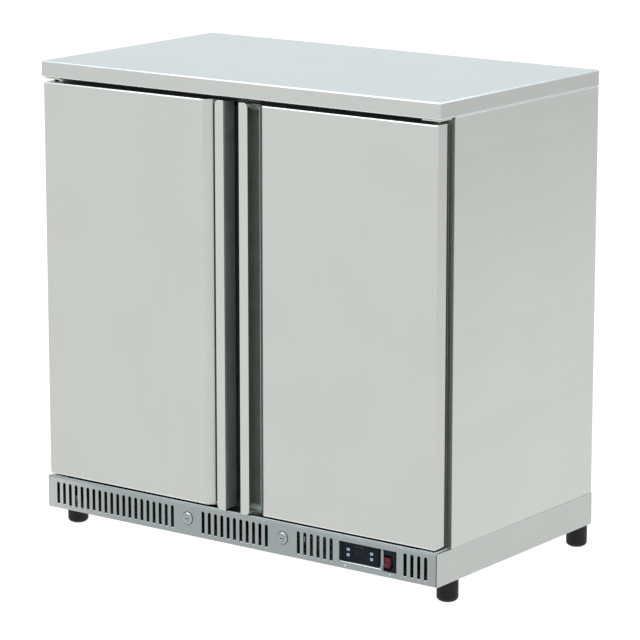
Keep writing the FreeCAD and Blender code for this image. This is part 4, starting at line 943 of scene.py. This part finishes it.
# Half of a magnetic gasket's section: (across the seal, away from the door), in shares.
GASKET = [(0.2, 0), (0.8, 0), (0.8, 0.2), (1, 0.32), (0.82, 0.5), (1, 0.66), (0.92, 0.74),
          (0.92, 1), (0.08, 1), (0.08, 0.74), (0, 0.66), (0.18, 0.5), (0, 0.32), (0.2, 0.2)]


def build_door(side, sign):
    body = f"{side}_door"
    stand_in(f"{side}_door_skin", DOOR_STEEL, "stainless", fold=2.8 * MM, edge=0.25 * MM)
    lip = rounded(f"{side}_handle_lip", fold=0.5 * MM, edge=0.5 * MM, broad=0.5 * MM)
    low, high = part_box(f"{side}_handle_lip")
    bmesh.ops.scale(lip, vec=(0.88, 1, 1), verts=lip.verts[:],
                    space=Matrix.Translation((-(low.x + high.x) / 2, 0, 0)))
    piece(f"{side}_handle_lip_finished", lip, LIP_STEEL, body,
          [f"{side}_handle_lip"])
    stand_in(f"{side}_door_bushes", BUSH_PLASTIC, "bush_plastic", edge=0.4 * MM)
    stand_in(f"{side}_door_liner", LINER_PLASTIC, "liner_aluminium", edge=1 * MM)

    low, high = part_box(f"{side}_door_seal")
    width = 16 * MM
    depth = high.y - low.y
    seal = bmesh.new()
    add_frame_sweep(seal, (low.x, low.z), (high.x, high.z), low.y,
                    [(across * width, away * depth) for across, away in GASKET])
    piece(f"{side}_gasket", seal, RUBBER, body, [f"{side}_door_seal"])

    gap = width + 3 * MM
    dike = bmesh.new()
    add_frame_sweep(dike, (low.x + gap, low.z + gap), (high.x - gap, high.z - gap), low.y,
                    [(0, -1 * MM), (0, 5 * MM), (3 * MM, 8 * MM), (16 * MM, 8 * MM),
                     (24 * MM, 2 * MM), (30 * MM, 1 * MM)], closed=False)
    round_off(dike, sharp_edges(dike, lambda e: True), 2 * MM, 3)
    piece(f"{side}_liner_dike", dike, LINER_PLASTIC, body)
    build_grip(side, sign)


def build_grip(side, sign):
    """The black recess moulding with scooped ends, and the steel bead round its mouth."""
    node = f"{side}_grip_channel"
    low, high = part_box(node)
    channel = rounded(node, fold=0.8 * MM, edge=0.3 * MM)
    piece(f"{side}_grip_finished", channel, BLACK_PLASTIC, f"{side}_door", [node])
    mouth, back = DOOR_FACE + 12 * MM, DOOR_FACE + 25.6 * MM
    bottom, top = low.z + GRIP_END, high.z - GRIP_END
    x_range = mirrored(sign, 19.9 * MM, 52.1 * MM)
    ends = bmesh.new()
    for end, up, scoop in ((bottom, 1, 9 * MM), (top, -1, 13 * MM)):
        add_cove(ends, x_range, back, end - up * 0.1 * MM, up, scoop, back - mouth - 1 * MM)
    # The ends carry painted light: paler plastic where light reaches into the recess.
    piece(f"{side}_grip_ends", ends, GRIP_PLASTIC_LIT_ENDS, f"{side}_door")

    bead = bmesh.new()
    start, corner = sign * 37 * MM, sign * 53 * MM
    path = rounded_path([(start, mouth, bottom), (corner, mouth, bottom),
                         (corner, mouth, top), (start, mouth, top)], 5 * MM)
    add_tube(bead, path, (0.75 if sign > 0 else 0.4) * MM, 10)
    piece(f"{side}_grip_bead", bead, BEAD_STEEL, f"{side}_door")


def add_cove(b, x, back, end, up, rise, reach, steps=10):
    """A solid fillet across a recess, from its end face to its back wall."""
    rows = []
    for step in range(steps + 1):
        angle = math.pi / 2 * step / steps
        forward = back - reach * (1 - math.sin(angle))
        height = end + up * rise * (1 - math.cos(angle))
        rows.append([b.verts.new((place, forward, height)) for place in x])
    corner = [b.verts.new((place, back, end)) for place in x]
    for lower, upper in zip(rows, rows[1:]):
        b.faces.new([lower[0], lower[1], upper[1], upper[0]])
    b.faces.new([rows[0][0], rows[0][1], corner[1], corner[0]])
    b.faces.new([rows[-1][0], rows[-1][1], corner[1], corner[0]])
    for side in (0, 1):
        b.faces.new([row[side] for row in rows] + [corner[side]])


def build_hinges():
    for node in ("hinge_brackets_top", "hinge_brackets_bottom"):
        stand_in(node, LIP_STEEL, "stainless", fold=0.6 * MM, edge=0.4 * MM)


# ---------------------------------------------------------------- inside

def build_shelves():
    """Wire shelves: a stout frame, thin wires front to back and two cross bars."""
    low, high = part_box("shelves")
    inner = 10 * MM
    frame_radius, wire_radius = 2.8 * MM, 1.4 * MM
    levels = (low.z + 3 * MM, high.z - 3 * MM)
    for side, sign in SIGNS.items():
        for level, middle in zip(("lower", "upper"), levels):
            b = bmesh.new()
            x0, x1 = mirrored(sign, inner + frame_radius, high.x - frame_radius)
            y0, y1 = low.y + frame_radius, high.y - frame_radius
            start = (x0, (y0 + y1) / 2)
            corners = [start, (x0, y0), (x1, y0), (x1, y1), (x0, y1), start]
            path = rounded_path([(x, y, middle) for x, y in corners], 14 * MM)
            add_tube(b, path[:-1], frame_radius, 12, closed=True)
            for share in (0.2, 0.5, 0.8):
                y = y0 + (y1 - y0) * share
                add_tube(b, [(x0, y, middle), (x1, y, middle)], frame_radius * 0.85, 10)
            count = 17
            for number in range(1, count):
                x = x0 + (x1 - x0) * number / count
                top = middle + frame_radius * 0.7
                route = [(x, y0, middle - 1 * MM), (x, y0 + 1 * MM, top), (x, y1 - 1 * MM, top),
                         (x, y1, middle - 1 * MM)]
                add_tube(b, rounded_path(route, 3 * MM, 3), wire_radius, 8)
            piece(f"shelf_{side}_{level}", b, ZINC_WIRE, "root", ["shelves"])


def build_rails():
    """Upright strips with punched slots, and the clips that carry the shelves."""
    source = cad_copy("shelf_rails")
    b = bmesh.new()
    for box_low, box_high in island_boxes(source):
        if box_high.z - box_low.z > 50 * MM:
            add_slotted_strip(b, box_low, box_high)
        else:
            add_clip(b, box_low, box_high)
    source.free()
    piece("shelf_rails_finished", b, LIP_STEEL, "root", ["shelf_rails"])


def island_boxes(b):
    """Lowest and highest corner of each separate solid."""
    left = set(b.verts)
    boxes = []
    while left:
        found, queue = set(), [left.pop()]
        while queue:
            vert = queue.pop()
            found.add(vert)
            for edge in vert.link_edges:
                other = edge.other_vert(vert)
                if other in left:
                    left.remove(other)
                    queue.append(other)
        points = [vert.co for vert in found]
        boxes.append((Vector(min(p[i] for p in points) for i in range(3)),
                      Vector(max(p[i] for p in points) for i in range(3))))
    boxes.sort(key=lambda box: tuple(round(c, 4) for c in box[0]))
    return boxes


def add_slotted_strip(b, low, high):
    """A strip with a slot every 25 mm up it."""
    pitch, slot = 25 * MM, 10 * MM
    wide = 0 if high.x - low.x > high.y - low.y else 1
    third = (high[wide] - low[wide]) / 3
    for part in (0, 2):
        start, stop = Vector(low), Vector(high)
        start[wide] = low[wide] + part * third
        stop[wide] = start[wide] + third
        add_block(b, start, stop, 0.3 * MM, 1)
    z = low.z
    while z < high.z - 1 * MM:
        start, stop = Vector(low), Vector(high)
        start[wide] += third * 0.98
        stop[wide] -= third * 0.98
        start.z, stop.z = z, min(z + pitch - slot, high.z)
        add_block(b, start, stop)
        z += pitch


def add_clip(b, low, high):
    """A pressed shelf clip: a tongue with a turned-down tip."""
    add_block(b, (low.x, low.y, high.z - 2 * MM), high, 0.4 * MM)
    add_block(b, (low.x + 1 * MM, low.y + 1 * MM, low.z),
              (high.x - 1 * MM, high.y - 1 * MM, high.z - 1 * MM), 0.8 * MM)


def build_cooling():
    """Evaporator cover with fan guard, coil fins, both fans and the condensing unit."""
    stand_in("evaporator_cover", WHITE_PLASTIC, "white_plastic", fold=4 * MM, edge=0.3 * MM)
    low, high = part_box("evaporator_cover")
    hub = fan_centre("evaporator_fan")
    guard = bmesh.new()
    face = low.y - 1.2 * MM
    for number in range(1, 8):
        path = [on_circle(hub, 8 * MM * number, a * math.pi / 24, face) for a in range(48)]
        add_tube(guard, path, 0.9 * MM, 6, closed=True)
    for number in range(6):
        angle = number * math.pi / 3 + 0.3
        spoke = [on_circle(hub, 6 * MM, angle, face), on_circle(hub, 57 * MM, angle, face),
                 on_circle(hub, 62 * MM, angle, low.y + 0.2 * MM)]
        add_tube(guard, rounded_path(spoke, 3 * MM), 1.1 * MM, 8)
    piece("evaporator_fan_guard", guard, ZINC_WIRE, "root")

    trim = bmesh.new()
    for x in (low.x + 12 * MM, high.x - 12 * MM):
        for z in (low.z + 12 * MM, high.z - 12 * MM):
            add_screw(trim, (x, low.y, z), (0, -1, 0))
    piece("cover_screws", trim, CHROME, "root")

    ribs = bmesh.new()
    for row in range(12):
        z = low.z + 30 * MM + row * 11 * MM
        add_block(ribs, (low.x + 25 * MM, low.y - 1.6 * MM, z),
                  (low.x + 215 * MM, low.y + 0.2 * MM, z + 3 * MM), 0.7 * MM)
    piece("cover_ribs", ribs, WHITE_PLASTIC, "root")

    build_coil("evaporator", "evaporator_coil", 4 * MM, 3)
    build_coil("condenser", "condenser_coil", 3.2 * MM, 4)
    build_fan("evaporator_fan", 15 * MM, 5)
    build_fan("condenser_fan", 22 * MM, 5)
    stand_in("fan_motors", ENAMEL, "black_enamel", fold=2 * MM, edge=0.4 * MM, broad=6 * MM)
    stand_in("refrigerant_pipes", COPPER, "copper")
    build_compressor()
    build_lamp()


def on_circle(centre, radius, angle, y):
    """A point on an upright circle that faces along Y."""
    return Vector((centre.x + radius * math.cos(angle), y, centre.z + radius * math.sin(angle)))


def fan_centre(node):
    """A point on the fan's shaft: the middle of the points at the shaft's far end."""
    mesh = NODES[node].data
    far = max(vert.co.y for vert in mesh.vertices)
    ring = [vert.co for vert in mesh.vertices if far - vert.co.y < 0.1 * MM]
    low = Vector(min(co[i] for co in ring) for i in range(3))
    high = Vector(max(co[i] for co in ring) for i in range(3))
    return (low + high) / 2


def build_fan(node, hub, blades):
    """A domed hub on its shaft, with twisted, swept blades."""
    low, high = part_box(node)
    centre = fan_centre(node)
    reach = max(high.x - centre.x, high.z - centre.z) - 0.5 * MM
    motor_side = {"evaporator_fan": 168 * MM, "condenser_fan": 142 * MM}[node]
    depth = motor_side - low.y
    b = bmesh.new()
    add_lathe(b, (centre.x, low.y, centre.z), (0, 1, 0),
              [(0, 0), (hub * 0.6, 0.5 * MM), (hub * 0.92, 2.5 * MM), (hub, 5 * MM), (hub, depth),
               (3 * MM, depth), (3 * MM, high.y - low.y), (0, high.y - low.y)], 36)
    spans, chords = 6, 8
    for number in range(blades):
        grid = {}
        for span in range(spans + 1):
            along = span / spans
            radius = hub * 0.95 + (reach - hub * 0.95) * along
            pitch = math.radians(38 - 16 * along)
            width = (0.55 + 0.35 * along) * depth / math.sin(math.radians(38))
            for chord in range(chords + 1):
                share = chord / chords - 0.5
                swing = share * width * math.cos(pitch) / radius + 0.25 * along ** 2
                angle = 2 * math.pi * number / blades + swing
                y = low.y + depth / 2 + share * width * math.sin(pitch)
                y += 1.5 * MM * (1 - 4 * share * share)
                for face, offset in (("front", -0.7 * MM), ("back", 0.7 * MM)):
                    grid[face, span, chord] = b.verts.new(
                        on_circle(centre, radius, angle, y + offset))
        for face in ("front", "back"):
            for span in range(spans):
                for chord in range(chords):
                    b.faces.new([grid[face, span, chord], grid[face, span + 1, chord],
                                 grid[face, span + 1, chord + 1], grid[face, span, chord + 1]])
        rim = [(0, chord) for chord in range(chords)]
        rim += [(span, chords) for span in range(spans)]
        rim += [(spans, chord) for chord in range(chords, 0, -1)]
        rim += [(span, 0) for span in range(spans, 0, -1)]
        front = [grid["front", span, chord] for span, chord in rim]
        back = [grid["back", span, chord] for span, chord in rim]
        join_rings(b, front, back)
    piece(node + "_finished", b, BLACK_PLASTIC, body_of(node), [node])


def build_coil(node, name, pitch, rows):
    """Thin fins between end plates, with the tube's return bends at both ends."""
    boxes = island_boxes(cad_copy(node))
    low, high = min(boxes, key=lambda box: box[0].y)
    b = bmesh.new()
    plate, margin, fin, count = 1.5 * MM, 12 * MM, 0.25 * MM, 6
    left, right = low.x + margin, high.x - margin
    for x in (left - plate, right):
        add_block(b, (x, low.y, low.z), (x + plate, high.y, high.z), 0.3 * MM, 1)
    x = left
    while x < right - pitch:
        x += pitch
        add_block(b, (x, low.y + 1 * MM, low.z + 2 * MM),
                  (x + fin, high.y - 1 * MM, high.z - 2 * MM))
    piece(name + "_fins", b, STUCCO, "root", [node])
    bends = bmesh.new()
    for end, out in ((left, -1), (right, 1)):
        for row in range(rows):
            y = low.y + (high.y - low.y) * (row + 0.5) / rows
            for number in range(count):
                z = low.z + (high.z - low.z) * (number + 0.25) / count
                gap = (high.z - low.z) / count / 2
                path = [(end - out * 5 * MM, y, z), (end + out * 10 * MM, y, z),
                        (end + out * 10 * MM, y, z + gap), (end - out * 5 * MM, y, z + gap)]
                add_tube(bends, rounded_path(path, gap / 2), 2.5 * MM, 8)
    piece(name + "_bends", bends, COPPER, "root")
    if len(boxes) > 1:
        build_shroud(max(boxes, key=lambda box: box[0].y))


def build_shroud(box):
    """The condenser's sheet shroud, with a bell mouth round the fan."""
    low, high = box
    centre = fan_centre("condenser_fan")
    mouth, steps, gauge = 98 * MM, 48, 1.012
    b = bmesh.new()
    outer, inner = [], []
    for step in range(steps):
        angle = 2 * math.pi * (step + 0.5) / steps
        cos, sin = math.cos(angle), math.sin(angle)
        half_x, half_z = (high.x - low.x) / 2, (high.z - low.z) / 2
        stretch = min(half_x / abs(cos), half_z / abs(sin))
        outer.append((centre.x + stretch * cos, centre.z + stretch * sin))
        inner.append((centre.x + mouth * cos, centre.z + mouth * sin))
    lip = [(centre.x + (x - centre.x) * gauge, centre.z + (z - centre.z) * gauge)
           for x, z in inner]
    sections = [(outer, low.y), (inner, low.y), (inner, low.y + 8 * MM),
                (lip, low.y + 8 * MM), (lip, high.y), (outer, high.y)]
    rings = [[b.verts.new((x, y, z)) for x, z in outline] for outline, y in sections]
    skin(b, rings, closed=True)
    piece("condenser_shroud", b, GALVANISED, "root", ["condenser"])


def build_compressor():
    """A pressed and welded can with a terminal cover, on its bed plate and rubber mounts."""
    boxes = island_boxes(cad_copy("compressor"))
    low, high = max(boxes, key=lambda box: box[1].z - box[0].z)
    bed = max(boxes, key=lambda box: box[1].x - box[0].x)
    middle = (low + high) / 2
    radius = (high.x - low.x) / 2
    height = high.z - low.z
    b = bmesh.new()
    seam = height * 0.55
    add_lathe(b, (middle.x, middle.y, low.z), (0, 0, 1), [
        (0, 0), (radius * 0.7, 0), (radius * 0.86, 3 * MM), (radius * 0.96, 12 * MM),
        (radius, 26 * MM), (radius, seam - 2 * MM), (radius + 1.6 * MM, seam - 1 * MM),
        (radius + 1.6 * MM, seam + 1 * MM), (radius, seam + 2 * MM),
        (radius * 0.995, height * 0.72), (radius * 0.95, height * 0.82),
        (radius * 0.82, height * 0.92), (radius * 0.55, height * 0.98), (0, height)], 48)
    add_block(b, (middle.x - 26 * MM, middle.y - radius - 8 * MM, low.z + 30 * MM),
              (middle.x + 26 * MM, middle.y - radius * 0.7, low.z + 84 * MM), 4 * MM, 3)
    piece("compressor_can", b, ENAMEL, "root", ["compressor"])
    plate = bmesh.new()
    add_block(plate, *bed, 1.2 * MM)
    piece("compressor_bed", plate, ENAMEL, "root")
    mounts = bmesh.new()
    for box_low, box_high in boxes:
        if box_high.x - box_low.x < 30 * MM:
            foot = (box_low + box_high) / 2
            size = (box_high.x - box_low.x) / 2
            tall = box_high.z - box_low.z
            add_lathe(mounts, (foot.x, foot.y, box_low.z), (0, 0, 1), [
                (0, 0), (size, 0), (size * 0.98, tall * 0.3), (size * 0.8, tall * 0.5),
                (size * 0.98, tall * 0.7), (size, tall), (size * 0.5, tall),
                (size * 0.5, tall + 6 * MM), (0, tall + 6 * MM)], 24)
    piece("compressor_mounts", mounts, RUBBER, "root")


def build_lamp():
    """The lamp bar and its ribbed half-round lens."""
    bar, lens = sorted(island_boxes(cad_copy("interior_lamp")), key=lambda box: -box[1].z)
    b = bmesh.new()
    add_block(b, *bar, 2 * MM, 3)
    piece("lamp_bar", b, WHITE_PLASTIC, "root", ["interior_lamp"])
    low, high = lens
    b = bmesh.new()
    steps = 10
    half, middle = (high.y - low.y) / 2, (high.y + low.y) / 2
    rings = []
    for share, shrink in ((0, 0.9), (0.01, 1), (0.99, 1), (1, 0.9)):
        x = low.x + (high.x - low.x) * share
        ring = [b.verts.new((x, middle - half * shrink, high.z + 0.5 * MM))]
        for step in range(steps + 1):
            angle = math.pi * step / steps
            ring.append(b.verts.new((x, middle - half * shrink * math.cos(angle),
                                     high.z - (high.z - low.z) * shrink * math.sin(angle))))
        ring.append(b.verts.new((x, middle + half * shrink, high.z + 0.5 * MM)))
        rings.append(ring)
    skin(b, rings)
    b.faces.new(rings[0])
    b.faces.new(rings[-1])
    piece("lamp_lens", b, LENS, "root")


# ---------------------------------------------------------------- studio

def build_studio():
    """A pale floor with one dimmer patch behind the right, a sky brighter overhead, a lamp."""
    floor_mesh = bpy.data.meshes.new("floor")
    b = bmesh.new()
    bmesh.ops.create_grid(b, x_segments=1, y_segments=1, size=60)
    b.to_mesh(floor_mesh)
    b.free()
    floor = bpy.data.objects.new("floor", floor_mesh)
    bpy.context.scene.collection.objects.link(floor)
    paint = Look("floor_paint", (0.06, 0.06, 0.06), 0.9)
    paint.shader.inputs["Emission Color"].default_value = (1, 1, 1, 1)
    paint.shader.inputs["Specular IOR Level"].default_value = 0
    inward = paint.axis("X")
    for sign, reach in ((1, 2), (-1, 14)):
        edge = paint.add("Math", operation="MULTIPLY_ADD")
        edge.inputs[1].default_value = sign
        edge.inputs[2].default_value = reach
        paint.tree.links.new(paint.axis("Y"), edge.inputs[0])
        nearest = paint.add("Math", operation="MINIMUM")
        paint.tree.links.new(inward, nearest.inputs[0])
        paint.tree.links.new(edge.outputs["Value"], nearest.inputs[1])
        inward = nearest.outputs["Value"]
    glow = map_range(paint.tree, inward, (1.85, 3.75), (1.035, 0.6))
    paint.tree.links.new(glow, paint.shader.inputs["Emission Strength"])
    floor_mesh.materials.append(paint.material)

    world = bpy.data.worlds.new("studio")
    world.use_nodes = True
    nodes, links = world.node_tree.nodes, world.node_tree.links
    sky = nodes["Background"]
    split = nodes.new("ShaderNodeSeparateXYZ")
    links.new(nodes.new("ShaderNodeTexCoord").outputs["Generated"], split.inputs["Vector"])
    height = split.outputs["Z"]
    tint = nodes.new("ShaderNodeMix")
    tint.data_type = "RGBA"
    tint.inputs["A"].default_value = (1.05, 1.05, 1.05, 1)
    tint.inputs["B"].default_value = (0.93, 1.02, 1.08, 1)
    links.new(map_range(world.node_tree, height, (0.05, 0.3), (0, 1)), tint.inputs["Factor"])
    links.new(tint.outputs["Result"], sky.inputs["Color"])
    links.new(map_range(world.node_tree, height, (0.45, 0.85), (1.0, 2.6)), sky.inputs["Strength"])
    bpy.context.scene.world = world
    add_light("key", (-2.2, -3.6, 3.4), 3.0, 30)
    bpy.context.scene.view_settings.view_transform = "Standard"


def add_light(name, place, size, watts):
    """A square soft light aimed at the middle of the object."""
    light = bpy.data.lights.new(name, "AREA")
    light.size = size
    light.energy = watts
    made = bpy.data.objects.new(name, light)
    made.location = place
    made.rotation_euler = (Vector((0, 0, 0.45)) - made.location).to_track_quat("-Z", "Y").to_euler()
    bpy.context.scene.collection.objects.link(made)


def build_camera():
    """A long lens, from the front and to the right, a little above the worktop."""
    yaw, pitch = math.radians(36.485), math.radians(12.386)
    distance = 6.0264
    aim = Vector((0.0075, -0.0023, 0.4211))
    back = Vector((math.sin(yaw) * math.cos(pitch), -math.cos(yaw) * math.cos(pitch), math.sin(pitch)))
    lens = bpy.data.cameras.new("camera")
    lens.sensor_width = 36
    lens.lens = 181.29
    camera = bpy.data.objects.new("camera", lens)
    camera.location = aim + back * distance
    camera.rotation_euler = (-back).to_track_quat("-Z", "Y").to_euler()
    bpy.context.scene.collection.objects.link(camera)
    bpy.context.scene.camera = camera


# ---------------------------------------------------------------- build

build_cabinet()
build_plinth()
build_back()
build_locks()
build_controls()
for side_name, side_sign in SIGNS.items():
    build_door(side_name, side_sign)
build_hinges()
build_shelves()
build_rails()
build_cooling()
build_studio()
build_camera()
